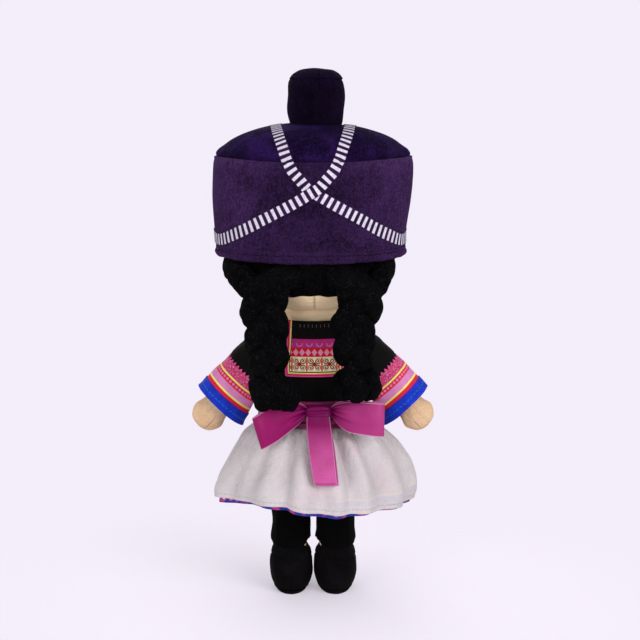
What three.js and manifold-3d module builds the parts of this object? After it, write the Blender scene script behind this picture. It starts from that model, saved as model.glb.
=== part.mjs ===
// A stuffed doll in festive dress: a tall plush hat, two thick plaits, a shirt with a collar flap, banded sleeves,
// a sash with a bow, a gathered skirt over a printed one, leggings and shoes.
// Millimetres, +Z up. The origin is on the ground under the doll, which faces -Y, so its left side is +X.
import * as THREE from "three";
import { mergeVertices } from "three/addons/utils/BufferGeometryUtils.js";
import Module from "manifold-3d";

const wasm = await Module();
wasm.setup();

// Cloth and gaps
const seam = 0.4; // gap between two pieces that touch
const cloth = 1.2; // a sewn cover
const thinCloth = 1; // skirt and ribbon

// Legs and shoes, heights above the ground
const hipHeight = 118;
const hipSpread = 17.4; // from the middle of the doll to each leg
const thighRadius = 14.2;
const leggingHem = 41;
const shoeRise = 40.4;
const shoeHalfWidth = 16.8;
const heelReach = 18; // behind the leg's axis
const toeReach = 35; // in front of it
const soleThickness = 3;

// Body
const crotchRise = 8.5; // from the hip's axis to the bottom of the body
const waistHeight = 146.5;
const waistHalfWidth = 37;
const waistHalfDepth = 28.5;
const shoulderHeight = 186;
const chestHalfWidth = 38;
const chestHalfDepth = 26;
const neckHeight = 226; // the seam between neck and head
const neckRadius = 22.5;
const neckSink = 10; // from that seam down to the shoulders

// Arms, measured along the arm from the shoulder
const shoulderSpread = 40;
const shoulderRadius = 18.4;
const armHang = 43; // degrees between the arm and straight down
const armRadius = 12;
const sleeveBandStart = 15.5;
const sleeveBandEnd = 40.2;
const cuffEnd = 49.5;
const cuffHalfWidth = 21.5;
const cuffHalfDepth = 18;
const handHalfWidth = 13.4;
const handHalfDepth = 9.5;
const handTip = 73;

// Shirt trims
const collarTop = 218;
const collarBottom = 176.7;
const collarTopHalfWidth = 17;
const collarBottomHalfWidth = 22;
const lapelWidth = 9;

// Sash, bow and skirts
const sashHeight = 21;
const sashThickness = 2.2;
const knotHalfWidth = 10;
const knotHalfHeight = 5;
const knotDepth = 12;
const bowSide = -4; // the knot sits a little to the doll's right
const loopWidth = 24;
const leftLoopReach = 35.5;
const leftLoopDroop = 0.42; // radians below level
const rightLoopReach = 40.5;
const rightLoopDroop = 0.16;
const tailLength = 44;
const tailWidth = 17;
const skirtHem = 76;
const hemHalfWidth = 77;
const hemHalfDepth = 63;
const skirtFolds = 10;
const foldDepth = 2.2; // at the hem
const printedHem = 71.5;
const skirtGap = 1.6; // between the two skirts
const apronLength = 52;
const apronHalfWidth = 30;

// Head, heights above the neck seam
const headHeight = 104;
const headHalfWidth = 61;
const headHalfDepth = 52;
const hairThickness = 3;
const hairHem = 13;
const eyeHeight = 24;
const eyeSpread = 18;
const mouthHeight = 12;

// Plaits
const plaitSpread = 40;
const plaitBack = 53;
const plaitTop = 31; // above the neck seam
const plaitLength = 71; // from there down to the tie
const tuftLength = 27;
const strandRadius = 9.4;
const lobePitch = 22; // between two lobes on one side of a plait
const strandGap = 3.2; // between two strands, level across
const tieThickness = 2.6;

// Hat, heights above the neck seam
const rimHeight = 37.8;
const rimRadius = 4.3;
const rimLift = 2.5; // how far the rim rises in front and falls at the back
const bandHeight = 66;
const hatHalfWidth = 75.5;
const hatHalfDepth = 64;
const hatWall = 2.5;
const domeRise = 28;
const knobRadius = 21.8;
const knobHeight = 41;

const colour = {
  skin: 0xe3bd98,
  stuffing: 0xf3f1ec,
  black: 0x15130f,
  hair: 0x0c0a0d,
  plum: 0x2e1746,
  magenta: 0xb52d86,
  white: 0xe8e6ee,
  print: 0x2a3a9c,
  red: 0xb3203a,
  blue: 0x1a2fa8,
  thread: 0x2a1a1a,
};

// Geometry helpers

// One ring of points round a form: an ellipse of half width and half depth at one height. Folds wave it in and out,
// and tilt lifts its front and lowers its back.
function ring({ z, wide, deep, side = 0, back = 0, fold = 0, tilt = 0 }, sides, grow = 0) {
  const points = [];
  for (let i = 0; i < sides; i++) {
    const turn = (2 * Math.PI * i) / sides;
    const swell = grow + fold * Math.cos(skirtFolds * turn);
    const x = side + (wide + swell) * Math.cos(turn);
    const y = back + (deep + swell) * Math.sin(turn);
    points.push(new THREE.Vector3(x, y, z - tilt * Math.sin(turn)));
  }
  return points;
}

// The signed volume of a triangle mesh: positive when its faces point out.
function signedVolume(points, faces) {
  let six = 0;
  for (const [a, b, c] of faces) {
    six += points[a].dot(new THREE.Vector3().crossVectors(points[b], points[c]));
  }
  return six / 6;
}

// Joins rings of equal length into one closed body. The last ring meets the first, or both ends are capped.
function loft(rings, endless = false) {
  const points = rings.flat();
  const sides = rings[0].length;
  const faces = [];
  const last = endless ? rings.length : rings.length - 1;
  for (let j = 0; j < last; j++) {
    const low = j * sides;
    const high = ((j + 1) % rings.length) * sides;
    for (let i = 0; i < sides; i++) {
      const next = (i + 1) % sides;
      faces.push([low + i, low + next, high + next], [low + i, high + next, high + i]);
    }
  }
  if (!endless) {
    for (const [j, flip] of [[0, true], [rings.length - 1, false]]) {
      const middle = new THREE.Vector3();
      rings[j].forEach((p) => middle.addScaledVector(p, 1 / sides));
      const centre = points.push(middle) - 1;
      for (let i = 0; i < sides; i++) {
        const edge = [j * sides + i, j * sides + ((i + 1) % sides)];
        faces.push(flip ? [centre, edge[1], edge[0]] : [centre, ...edge]);
      }
    }
  }
  if (signedVolume(points, faces) < 0) faces.forEach((face) => face.reverse());
  const geometry = new THREE.BufferGeometry().setFromPoints(points);
  geometry.setIndex(faces.flat());
  return geometry;
}

// A closed form through its stations, grown or shrunk all round, its two ends with it.
function column(stations, sides, grow = 0, openTop = 0, openBottom = 0) {
  const rings = stations.map((station, j) => {
    let z = station.z;
    if (j === 0) z -= grow + openBottom;
    if (j === stations.length - 1) z += grow + openTop;
    return ring({ ...station, z }, sides, grow);
  });
  return loft(rings);
}

// A cover open at both ends: its outer face lies at one growth of the form and its inner face at another.
function cover(stations, sides, outer, inner) {
  const outside = stations.map((station) => ring(station, sides, outer));
  const inside = stations.map((station) => ring(station, sides, inner)).reverse();
  return loft([...outside, ...inside], true);
}

// A cover with a closed top and an open bottom, of one wall thickness.
function cap(stations, sides, wall) {
  const outside = stations.map((station) => ring(station, sides));
  const inside = stations.map((station, j) => ring({ ...station, z: station.z - (j ? wall : 0) }, sides, -wall));
  return loft([...outside.reverse(), ...inside]);
}

// The stations of a form between two heights, with one added at each of them.
function slice(stations, from, to) {
  const at = (z) => {
    const j = Math.max(1, stations.findIndex((station) => station.z >= z));
    const a = stations[j - 1];
    const b = stations[j];
    const t = (z - a.z) / (b.z - a.z);
    return { z, wide: a.wide + t * (b.wide - a.wide), deep: a.deep + t * (b.deep - a.deep) };
  };
  const between = stations.filter((station) => station.z > from + 1 && station.z < to - 1);
  return [at(from), ...between, at(to)];
}

// The stations of a dome of one radius, from its middle plane up.
function dome(radius, steps = 3, flat = 1.5) {
  const stations = [];
  for (let j = 0; j <= steps; j++) {
    const lean = (j / steps) * (Math.PI / 2);
    const wide = Math.max(flat, radius * Math.cos(lean));
    stations.push({ z: radius * Math.sin(lean), wide, deep: wide });
  }
  return stations;
}

// A ribbon along a path: a flat strip whose width lies along one direction at each point.
function ribbon(path, widths, across, thickness) {
  const rings = path.map((point, j) => {
    const before = path[Math.max(0, j - 1)];
    const after = path[Math.min(path.length - 1, j + 1)];
    const along = new THREE.Vector3().subVectors(after, before).normalize();
    const wide = across[j].clone().multiplyScalar(widths[j] / 2);
    const thick = new THREE.Vector3().crossVectors(along, across[j]).setLength(thickness / 2);
    return [[1, 1], [1, -1], [-1, -1], [-1, 1]].map(([u, v]) =>
      point.clone().addScaledVector(wide, u).addScaledVector(thick, v),
    );
  });
  return loft(rings);
}

// Solids, joined and cut

function solid(geometry) {
  const bare = geometry.index ? geometry.toNonIndexed() : geometry.clone();
  bare.deleteAttribute("normal");
  bare.deleteAttribute("uv");
  const merged = mergeVertices(bare, 1e-4);
  return new wasm.Manifold(
    new wasm.Mesh({
      numProp: 3,
      vertProperties: merged.getAttribute("position").array,
      triVerts: new Uint32Array(merged.index.array),
    }),
  );
}

function geometryOf(manifold) {
  const mesh = manifold.getMesh();
  const geometry = new THREE.BufferGeometry();
  geometry.setAttribute("position", new THREE.Float32BufferAttribute(mesh.vertProperties, 3));
  geometry.setIndex(Array.from(mesh.triVerts));
  return geometry;
}

function cutBy(geometry, ...cutters) {
  return geometryOf(cutters.reduce((left, cutter) => left.subtract(solid(cutter)), solid(geometry)));
}

// A patch of a cover: the part of it inside an outline in X and Z, on the front or on the back.
function patch(coverGeometry, outline, front) {
  const reach = 2 * hatHalfDepth;
  const block = new THREE.ExtrudeGeometry(outline, { depth: reach, bevelEnabled: false, curveSegments: 8 });
  block.rotateX(Math.PI / 2);
  if (!front) block.translate(0, reach, 0);
  return geometryOf(solid(coverGeometry).intersect(solid(block)));
}

// A ball whose flat faces all lie outside the radius, so a round piece turns freely in the hollow that it cuts.
function ball(radius, x, y, z) {
  const facets = 16;
  const around = radius / Math.cos(Math.PI / facets) ** 2;
  return new THREE.SphereGeometry(around, facets, facets / 2).rotateX(Math.PI / 2).translate(x, y, z);
}

function piece(parent, name, geometry, tint, roughness = 0.9) {
  geometry.computeVertexNormals();
  const material = new THREE.MeshStandardMaterial({ color: tint, roughness, metalness: 0 });
  const mesh = new THREE.Mesh(geometry, material);
  mesh.name = name;
  parent.add(mesh);
  return mesh;
}

const sides = [["left", 1], ["right", -1]];
const bodySides = 20;
const limbSides = 12;
const headSides = 20;
const hatSides = 24;

// Body

const crotchHeight = hipHeight + crotchRise;
const shoulderTop = neckHeight - neckSink;
const neckBall = (drop) => Math.sqrt(neckRadius ** 2 - drop ** 2);

const bodyForm = [
  { z: crotchHeight, wide: waistHalfWidth - 2, deep: waistHalfDepth - 2 },
  { z: waistHeight - sashHeight / 2, wide: waistHalfWidth, deep: waistHalfDepth },
  { z: waistHeight + sashHeight / 2, wide: waistHalfWidth, deep: waistHalfDepth },
  { z: shoulderHeight - 8, wide: chestHalfWidth, deep: chestHalfDepth + 1 },
  { z: shoulderHeight + 5, wide: chestHalfWidth, deep: chestHalfDepth },
  { z: shoulderTop - 14, wide: chestHalfWidth - 5, deep: chestHalfDepth - 1.5 },
  { z: shoulderTop - 5, wide: neckRadius + 4, deep: neckRadius + 1 },
  { z: shoulderTop, wide: neckBall(neckSink), deep: neckBall(neckSink) },
];
const neckForm = [-4, 4, 11, 17].map((rise) => ({
  z: neckHeight + rise,
  wide: neckBall(rise),
  deep: neckBall(rise),
}));
const torsoForm = [...bodyForm, ...neckForm];

// Room for a shoulder to turn, and for the sleeve to hang beside the body.
function shoulderPockets(gap) {
  return sides.flatMap(([, sign]) => {
    const hanging = column([-sleeveBandEnd, -sleeveBandStart, 0].map((z) => sleeveStation(z, sign)), limbSides, gap);
    hanging.rotateY(-sign * THREE.MathUtils.degToRad(armHang)).translate(sign * shoulderSpread, 0, shoulderHeight);
    return [ball(shoulderRadius + gap, sign * shoulderSpread, 0, shoulderHeight), hanging];
  });
}

function hipPockets(gap) {
  return sides.map(([, sign]) => ball(thighRadius + gap, sign * hipSpread, 0, hipHeight));
}

function addTorso(parent) {
  const pockets = (gap) => [...shoulderPockets(gap), ...hipPockets(gap)];
  const outside = column(torsoForm, bodySides);
  const hollow = cutBy(column(torsoForm, bodySides, -cloth, 3 * cloth), ...pockets(seam + cloth));
  piece(parent, "torso_skin", cutBy(outside, ...pockets(seam), hollow), colour.skin);
  const filling = column(torsoForm, bodySides / 2, -cloth - seam);
  piece(parent, "torso_stuffing", cutBy(filling, ...pockets(2 * seam + cloth)), colour.stuffing, 1);
}

// Shirt

const sashBottom = waistHeight - sashHeight / 2;
const shirtHem = waistHeight + 3;
const shirtForm = slice(torsoForm, shirtHem, shoulderTop);
const shirtOuter = seam + cloth;

function addShirt(parent) {
  const shirt = cover(shirtForm, bodySides, shirtOuter, seam);
  const pockets = shoulderPockets(seam);
  piece(parent, "shirt_body", cutBy(shirt, ...pockets), colour.black, 0.85);
  addCollarFlap(parent);
  addLapels(parent, pockets);
}

function addCollarFlap(parent) {
  const under = slice(torsoForm, collarBottom - 10, collarTop);
  const lying = cover(under, bodySides, shirtOuter + seam + cloth, shirtOuter + seam);
  const shape = new THREE.Shape();
  shape.moveTo(-collarBottomHalfWidth, collarBottom);
  shape.lineTo(collarBottomHalfWidth, collarBottom);
  shape.lineTo(collarTopHalfWidth, collarTop);
  shape.lineTo(-collarTopHalfWidth, collarTop);
  piece(parent, "collar_flap", patch(lying, shape, false), colour.red, 0.8);
}

// A facing band down each front edge of the shirt, from the neck to the sash. The two meet at the waist.
function addLapels(parent, pockets) {
  const lying = cover(shirtForm, bodySides, shirtOuter + seam + cloth, shirtOuter + seam);
  const bottom = sashBottom + sashHeight + seam;
  for (const [name, sign] of sides) {
    const shape = new THREE.Shape();
    shape.moveTo(sign * (seam / 2), bottom);
    shape.lineTo(sign * lapelWidth, bottom);
    shape.lineTo(sign * (collarTopHalfWidth + lapelWidth / 3), shoulderTop + seam);
    shape.lineTo(sign * (collarTopHalfWidth - lapelWidth / 2), shoulderTop + seam);
    shape.lineTo(sign * (seam / 2), bottom + lapelWidth);
    const band = patch(lying, shape, true);
    piece(parent, "shirt_lapel_" + name, cutBy(band, ...pockets), colour.blue, 0.8);
  }
}

// Sash and bow

const waistbandOuter = 2 * seam + 2 * cloth;
const sashInner = waistbandOuter + seam;
const sashOuter = sashInner + sashThickness;
const sashForm = slice(torsoForm, sashBottom, sashBottom + sashHeight);
const sashBack = waistHalfDepth + sashOuter;
const knotMiddle = new THREE.Vector3(bowSide, sashBack + seam + knotDepth / 2, waistHeight + 4.5);

function addSash(parent) {
  const bandForm = slice(torsoForm, sashBottom, sashBottom + sashHeight - 2);
  piece(parent, "skirt_waistband", cover(bandForm, bodySides, waistbandOuter, waistbandOuter - cloth), colour.white);
  piece(parent, "waist_sash", cover(sashForm, bodySides, sashOuter, sashInner), colour.magenta, 0.35);
}

// The knot is a short bundle with rounded ends, wrapped round the loops' roots.
function addKnot(parent) {
  const rings = [-1, -0.8, -0.3, 0.3, 0.8, 1].map((t) => {
    const swell = Math.sqrt(1.15 - t * t);
    const height = knotHalfHeight * swell;
    const depth = (knotDepth / 2) * Math.min(1, swell);
    return ring({ z: t * knotHalfWidth, wide: height, deep: depth }, 10);
  });
  const knot = loft(rings).rotateY(Math.PI / 2);
  knot.translate(...knotMiddle);
  piece(parent, "bow_knot", knot, colour.magenta, 0.35);
}

// Each loop leaves the knot, runs out, turns back on itself and returns in front of its own back layer.
function addLoop(parent, name, sign, reach, droop) {
  const out = new THREE.Vector3(sign * Math.cos(droop), 0, -Math.sin(droop));
  const across = new THREE.Vector3(sign * Math.sin(droop), 0, Math.cos(droop));
  const root = knotMiddle.clone().addScaledVector(out, knotHalfWidth + seam);
  const layer = 2.4;
  const profile = [[0, -1, 0.42], [0.2, -1.3, 0.7], [0.55, -1.6, 0.95], [0.9, -1.3, 1], [1, 0, 1]];
  const halves = [...profile, ...profile.slice(0, -1).reverse().map(([u, v, w]) => [u, -v, w])];
  const path = halves.map(([u, v]) =>
    root.clone().addScaledVector(out, u * reach).add(new THREE.Vector3(0, v * layer + 3 * u, 0)),
  );
  const widths = halves.map(([, , w]) => w * loopWidth);
  piece(parent, name, ribbon(path, widths, path.map(() => across), thinCloth), colour.magenta, 0.35);
}

// The skirt's half widths below the sash: it puffs out at once and falls more and more steeply.
const skirtTop = sashBottom - seam;

function skirtStation(z, hemWide, hemDeep, hem, waistGrow) {
  const t = (skirtTop - z) / (skirtTop - hem);
  const flare = Math.sin((t * Math.PI) / 2) ** 0.85;
  const wide = waistHalfWidth + waistGrow + (hemWide - waistHalfWidth - waistGrow) * flare;
  const deep = waistHalfDepth + waistGrow + (hemDeep - waistHalfDepth - waistGrow) * flare;
  return { z, wide, deep, fold: foldDepth * flare };
}

function skirtForm(hem, shrink, waistGrow) {
  const stations = [];
  const steps = 4;
  for (let j = steps; j >= 0; j--) {
    const z = skirtTop - (skirtTop - hem) * (j / steps) ** 1.3;
    stations.push(skirtStation(z, hemHalfWidth - shrink, hemHalfDepth - shrink, hem, waistGrow));
  }
  return stations;
}

const skirtSides = 4 * skirtFolds;
const outerSkirt = skirtForm(skirtHem, 0, waistbandOuter);

function addSkirts(parent) {
  piece(parent, "skirt", cover(outerSkirt, skirtSides, 0, -thinCloth), colour.white);
  const lining = skirtForm(printedHem, skirtGap + 2 * thinCloth, seam + thinCloth);
  const tucked = { ...lining.at(-1), z: shirtHem - seam };
  piece(parent, "printed_skirt", cover([...lining, tucked], skirtSides, 0, -thinCloth), colour.print);
  addApron(parent);
}

// The apron hangs over the front of the skirt from the sash's lower edge.
function addApron(parent) {
  const top = sashBottom - 2 * seam;
  const hanging = cover(outerSkirt, skirtSides, seam + cloth, seam);
  const shape = new THREE.Shape();
  shape.moveTo(-apronHalfWidth, top - apronLength);
  shape.lineTo(apronHalfWidth, top - apronLength);
  shape.lineTo(apronHalfWidth * 0.6, top);
  shape.lineTo(-apronHalfWidth * 0.6, top);
  piece(parent, "apron", patch(hanging, shape, true), colour.black, 0.85);
}

// Two ribbon ends hang from under the knot down the back of the skirt.
function addTails(parent) {
  const outward = (z) => {
    const station = skirtStation(z, hemHalfWidth, hemHalfDepth, skirtHem, waistbandOuter);
    return station.deep + station.fold;
  };
  const start = new THREE.Vector3(bowSide, knotMiddle.y + 1, knotMiddle.z - knotHalfHeight - 2 * seam);
  const across = new THREE.Vector3(1, 0, 0);
  for (const [name, layer, slide] of [["bow_tail_inner", 0, -2.5], ["bow_tail_outer", 1, 0]]) {
    const path = [0, 0.25, 0.5, 0.75, 1].map((t) => {
      const z = start.z - t * tailLength;
      const lie = outward(Math.min(z, skirtTop)) + 2 + layer * (thinCloth + seam);
      const y = Math.max(lie, start.y + layer * (thinCloth + seam) + 6 * t);
      return new THREE.Vector3(start.x + slide * t - 5 * t, y, z - (1 - layer) * t * 2);
    });
    const widths = [0.62, 0.9, 1, 1, 1].map((share) => share * tailWidth);
    piece(parent, name, ribbon(path, widths, path.map(() => across), thinCloth), colour.magenta, 0.35);
  }
}

// Legs, in a frame whose origin is the hip

const below = (height) => height - hipHeight;
const shinRadius = thighRadius - cloth - seam;
const footHalfLength = (heelReach + toeReach) / 2;
const footBack = (heelReach - toeReach) / 2;

const shoeForm = [
  { z: below(soleThickness + seam), wide: shoeHalfWidth - 3, deep: footHalfLength - 1.9, back: footBack },
  { z: below(7.5), wide: shoeHalfWidth - 1, deep: footHalfLength - 0.6, back: footBack },
  { z: below(13), wide: shoeHalfWidth, deep: footHalfLength, back: footBack },
  { z: below(20), wide: shoeHalfWidth - 0.3, deep: footHalfLength - 4.5, back: footBack + 4 },
  { z: below(29), wide: shoeHalfWidth - 0.8, deep: 17, back: -1.8 },
  { z: below(shoeRise), wide: shoeHalfWidth - 0.9, deep: shoeHalfWidth - 0.7, back: 0 },
];
const shoeInner = cloth + 1.5 * seam;
const footForm = shoeForm.map((station) => ({
  ...station,
  wide: station.wide - shoeInner,
  deep: station.deep - shoeInner,
}));
const legForm = [
  ...footForm.slice(0, -1),
  { z: below(leggingHem), wide: shinRadius, deep: shinRadius },
  { z: -seam, wide: shinRadius, deep: shinRadius },
  ...dome(thighRadius),
];

function addLeg(parent, name) {
  piece(parent, "leg_" + name + "_skin", legSkin(), colour.skin);
  piece(parent, "leg_" + name + "_stuffing", column(legForm, limbSides / 2, -cloth - seam), colour.stuffing, 1);
  const tube = [below(leggingHem), -2 * seam].map((z) => ({ z, wide: thighRadius, deep: thighRadius }));
  piece(parent, "legging_" + name, cover(tube, limbSides, 0, -cloth), colour.black, 0.85);
  piece(parent, "shoe_" + name + "_upper", cover(shoeForm, limbSides, 0, -cloth), colour.black, 0.8);
  const solePlan = { wide: shoeHalfWidth - 4.4, deep: footHalfLength - 3.3, back: footBack };
  const sole = loft([
    ring({ z: below(0), ...solePlan }, limbSides),
    ring({ z: below(soleThickness), ...solePlan }, limbSides, 1.2),
  ]);
  piece(parent, "shoe_" + name + "_sole", sole, colour.black, 0.8);
}

// The skin is open under the foot, where the sole closes the shoe.
function legSkin() {
  return cutBy(column(legForm, limbSides), column(legForm, limbSides, -cloth, 0, 2 * cloth));
}

// Arms, in a frame whose origin is the shoulder and whose -Z runs along the arm

const sleeveInner = shoulderRadius - cloth;

function sleeveStation(z, sign) {
  const t = Math.min(1, -z / cuffEnd);
  const pinch = 1.2 * Math.sin(Math.PI * t);
  return {
    z,
    wide: THREE.MathUtils.lerp(shoulderRadius, cuffHalfWidth, t) - pinch,
    deep: THREE.MathUtils.lerp(shoulderRadius, cuffHalfDepth, t),
    side: sign * (1.5 * Math.sin(Math.PI * t) - 1.9 * t * t),
  };
}

function sleevePart(from, to, sign, puff) {
  const stations = [-to, -(from + to) / 2, -from].map((z) => sleeveStation(z, sign));
  return cover(stations, limbSides, puff, puff - cloth);
}

const armForm = [
  { z: -handTip, wide: 5, deep: 3 },
  { z: -handTip + 4, wide: handHalfWidth - 3.5, deep: handHalfDepth - 2.5 },
  { z: -handTip + 11, wide: handHalfWidth, deep: handHalfDepth },
  { z: -cuffEnd - 3, wide: armRadius - 1, deep: handHalfDepth },
  { z: -sleeveBandEnd, wide: armRadius, deep: armRadius - 1 },
  { z: -shoulderRadius, wide: armRadius + 0.5, deep: armRadius },
  ...dome(sleeveInner - 2 * seam),
];

function addArm(parent, name, sign) {
  const skin = cutBy(column(armForm, limbSides), column(armForm, limbSides, -cloth), openShoulder());
  piece(parent, "arm_" + name + "_skin", skin, colour.skin);
  const filling = cutBy(column(armForm, limbSides / 2, -cloth - seam), openShoulder());
  piece(parent, "arm_" + name + "_stuffing", filling, colour.stuffing, 1);
  const shoulder = [sleeveStation(-sleeveBandStart, sign), ...dome(shoulderRadius)];
  piece(parent, "sleeve_" + name, cap(shoulder, limbSides, cloth), colour.black, 0.85);
  piece(parent, "sleeve_" + name + "_band", sleevePart(sleeveBandStart + seam, sleeveBandEnd, sign, 0), colour.red);
  piece(parent, "cuff_" + name, sleevePart(sleeveBandEnd + seam, cuffEnd, sign, 0.3), colour.blue);
}

// The arm's cover is left open at the shoulder, under the sleeve.
function openShoulder() {
  const size = 2 * shoulderRadius;
  return new THREE.BoxGeometry(size, size, size).translate(0, 0, size / 2 + shoulderRadius * 0.72);
}

// Head, in a frame whose origin is the neck seam

const headForm = [
  { z: 0, wide: neckRadius + 2.5, deep: neckRadius + 2.2 },
  { z: 4, wide: headHalfWidth - 25, deep: headHalfDepth - 20 },
  { z: 11, wide: headHalfWidth - 15, deep: headHalfDepth - 11 },
  { z: 23, wide: headHalfWidth - 6, deep: headHalfDepth - 4 },
  { z: 38, wide: headHalfWidth - 1, deep: headHalfDepth - 0.5 },
  { z: 58, wide: headHalfWidth, deep: headHalfDepth },
  { z: headHeight - 30, wide: headHalfWidth - 5, deep: headHalfDepth - 4 },
  { z: headHeight - 12, wide: headHalfWidth - 19, deep: headHalfDepth - 16 },
  { z: headHeight - 2, wide: headHalfWidth - 42, deep: headHalfDepth - 36 },
  { z: headHeight, wide: 6, deep: 6 },
];
const hairOuter = seam + hairThickness;

function addHead(parent) {
  const socket = ball(neckRadius + seam, 0, 0, 0);
  const skin = cutBy(column(headForm, headSides), column(headForm, headSides, -cloth), socket);
  piece(parent, "head_skin", skin, colour.skin);
  const filling = cutBy(column(headForm, headSides / 2, -cloth - seam), socket);
  piece(parent, "head_stuffing", filling, colour.stuffing, 1);
  addHair(parent);
  addFace(parent);
}

// The hair covers the back and sides of the head. In front it is parted in the middle above the face.
function addHair(parent) {
  const lying = cover(slice(headForm, hairHem, rimHeight + 24), headSides, hairOuter, seam);
  const face = new THREE.Shape();
  const side = headHalfWidth - 9;
  face.moveTo(-side, 0);
  face.lineTo(side, 0);
  face.quadraticCurveTo(side - 2, rimHeight - 14, side - 24, rimHeight - 2);
  face.quadraticCurveTo(side / 4, rimHeight + 1, 0, rimHeight + 5);
  face.quadraticCurveTo(-side / 4, rimHeight + 1, 24 - side, rimHeight - 2);
  face.quadraticCurveTo(2 - side, rimHeight - 14, -side, 0);
  const window = new THREE.ExtrudeGeometry(face, { depth: 2 * headHalfDepth, bevelEnabled: false, curveSegments: 5 });
  piece(parent, "hair_cap", cutBy(lying, window.rotateX(Math.PI / 2)), colour.hair, 1);
}

function addFace(parent) {
  const lying = cover(slice(headForm, 4, rimHeight), headSides, seam + 0.6, seam / 2);
  for (const [name, sign] of sides) {
    const eye = new THREE.Shape().absellipse(sign * eyeSpread, eyeHeight, 3.6, 4.8, 0, 2 * Math.PI);
    piece(parent, "eye_" + name, patch(lying, eye, true), colour.thread);
  }
  const smile = new THREE.Shape();
  smile.moveTo(-5, mouthHeight + 1.6);
  smile.quadraticCurveTo(0, mouthHeight - 2.2, 5, mouthHeight + 1.6);
  smile.lineTo(4.4, mouthHeight + 2.4);
  smile.quadraticCurveTo(0, mouthHeight - 0.4, -4.4, mouthHeight + 2.4);
  piece(parent, "mouth", patch(lying, smile, true), colour.red);
}

// Plaits, in a frame whose origin is the plait's top

const gathered = 5.2; // from the middle of a plait to each strand's middle, at the tie
const plaitLean = 2; // how much farther back a plait is at the tie

// Where a strand's middle lies at a depth below the top: a figure of eight drawn out along the plait, which narrows to
// the tie and opens again in the tuft. The plait leans in towards the middle of the back.
function strandMiddle(k, depth, sign) {
  const turn = ((2 * Math.PI) / 3) * (depth / lobePitch + k) + Math.PI / 2 - ((2 * Math.PI) / 3) * (plaitLength / lobePitch);
  const tie = Math.exp(-(((depth - plaitLength) / 7) ** 2));
  const tuft = THREE.MathUtils.smoothstep(depth, plaitLength, plaitLength + tuftLength / 2);
  const top = 1 - THREE.MathUtils.smoothstep(depth, 0, 18);
  const wide = THREE.MathUtils.lerp(10 + 4 * top, gathered, tie) * (1 - tuft) + 9.5 * tuft;
  const deep = THREE.MathUtils.lerp(gathered - 1.5 * top, gathered, tie) * (1 - tuft) + 5.5 * tuft;
  const held = tuft > 0 ? Math.PI / 2 + ((2 * Math.PI) / 3) * k : turn;
  const phase = THREE.MathUtils.lerp(turn, held, tuft);
  const lean = THREE.MathUtils.smoothstep(depth, 0, plaitLength);
  return new THREE.Vector2(sign * (wide * Math.sin(phase) - 7.5 * lean), deep * Math.sin(2 * phase) + plaitLean * lean);
}

// How thick a strand is at a depth: round at both ends and squeezed at the tie.
function strandSwell(depth) {
  const start = -2.5;
  const end = plaitLength + tuftLength;
  const roundTop = Math.sqrt(Math.min(1, (depth - start) / 9));
  const roundEnd = Math.sqrt(Math.max(0, Math.min(1, (end - depth) / 11)));
  const squeeze = 1 - 0.42 * Math.exp(-(((depth - plaitLength) / 5) ** 2));
  return Math.max(1, strandRadius * roundTop * roundEnd * squeeze);
}

// The three strands press on each other: a strand reaches out to its own radius, or to halfway to its neighbour.
function strand(k, sign) {
  const rings = [];
  const steps = Math.ceil((6.2 * (plaitLength + tuftLength)) / lobePitch);
  const round = 6;
  for (let j = 0; j <= steps; j++) {
    const depth = -2.3 + (plaitLength + tuftLength + 2.1) * (j / steps);
    const middles = [0, 1, 2].map((n) => strandMiddle(n, depth, sign));
    const here = middles[k];
    const others = middles.filter((middle, n) => n !== k);
    const points = [];
    for (let i = 0; i < round; i++) {
      const turn = (2 * Math.PI * i) / round;
      const way = new THREE.Vector2(Math.cos(turn), Math.sin(turn));
      let reach = strandSwell(depth);
      for (const other of others) {
        const apart = other.clone().sub(here);
        const toward = way.dot(apart) / apart.length();
        if (toward > 0.05) reach = Math.min(reach, (apart.length() / 2 - strandGap / 2) / toward);
      }
      points.push(new THREE.Vector3(here.x + way.x * reach, here.y + way.y * reach, -depth));
    }
    rings.push(points);
  }
  return loft(rings);
}

const tieRadius = gathered + strandSwell(plaitLength) + 3 * seam;

function addPlait(parent, name, sign, hairSolid) {
  for (let k = 0; k < 3; k++) {
    piece(parent, `plait_${name}_strand_${k + 1}`, cutBy(strand(k, sign), hairSolid), colour.hair, 1);
  }
  const middle = [0, 1, 2].reduce(
    (sum, k) => sum.add(strandMiddle(k, plaitLength, sign)),
    new THREE.Vector2(),
  ).divideScalar(3);
  const tube = tieThickness / 2;
  const section = [];
  for (let i = 0; i <= 6; i++) {
    const turn = (2 * Math.PI * i) / 6;
    section.push(new THREE.Vector2(tieRadius + tube + tube * Math.cos(turn), 1.6 * tube * Math.sin(turn)));
  }
  const tie = new THREE.LatheGeometry(section, 14).rotateX(Math.PI / 2);
  piece(parent, `plait_${name}_tie`, tie.translate(middle.x, middle.y, -plaitLength), colour.black, 0.7);
}

// Hat, in the head's frame

const bandBottom = rimHeight + 2 * rimRadius + seam;
const bandTop = bandBottom + bandHeight;
const domeTop = bandTop + domeRise;
const crown = [[0, 1], [0.18, 0.98], [0.48, 0.86], [0.78, 0.65], [0.96, 0.37], [1, 0.1]];

function crownForm() {
  return crown.map(([up, out]) => ({
    z: bandTop + seam + up * domeRise,
    wide: (hatHalfWidth - 0.5) * out,
    deep: (hatHalfDepth - 0.5) * out,
  }));
}

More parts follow.
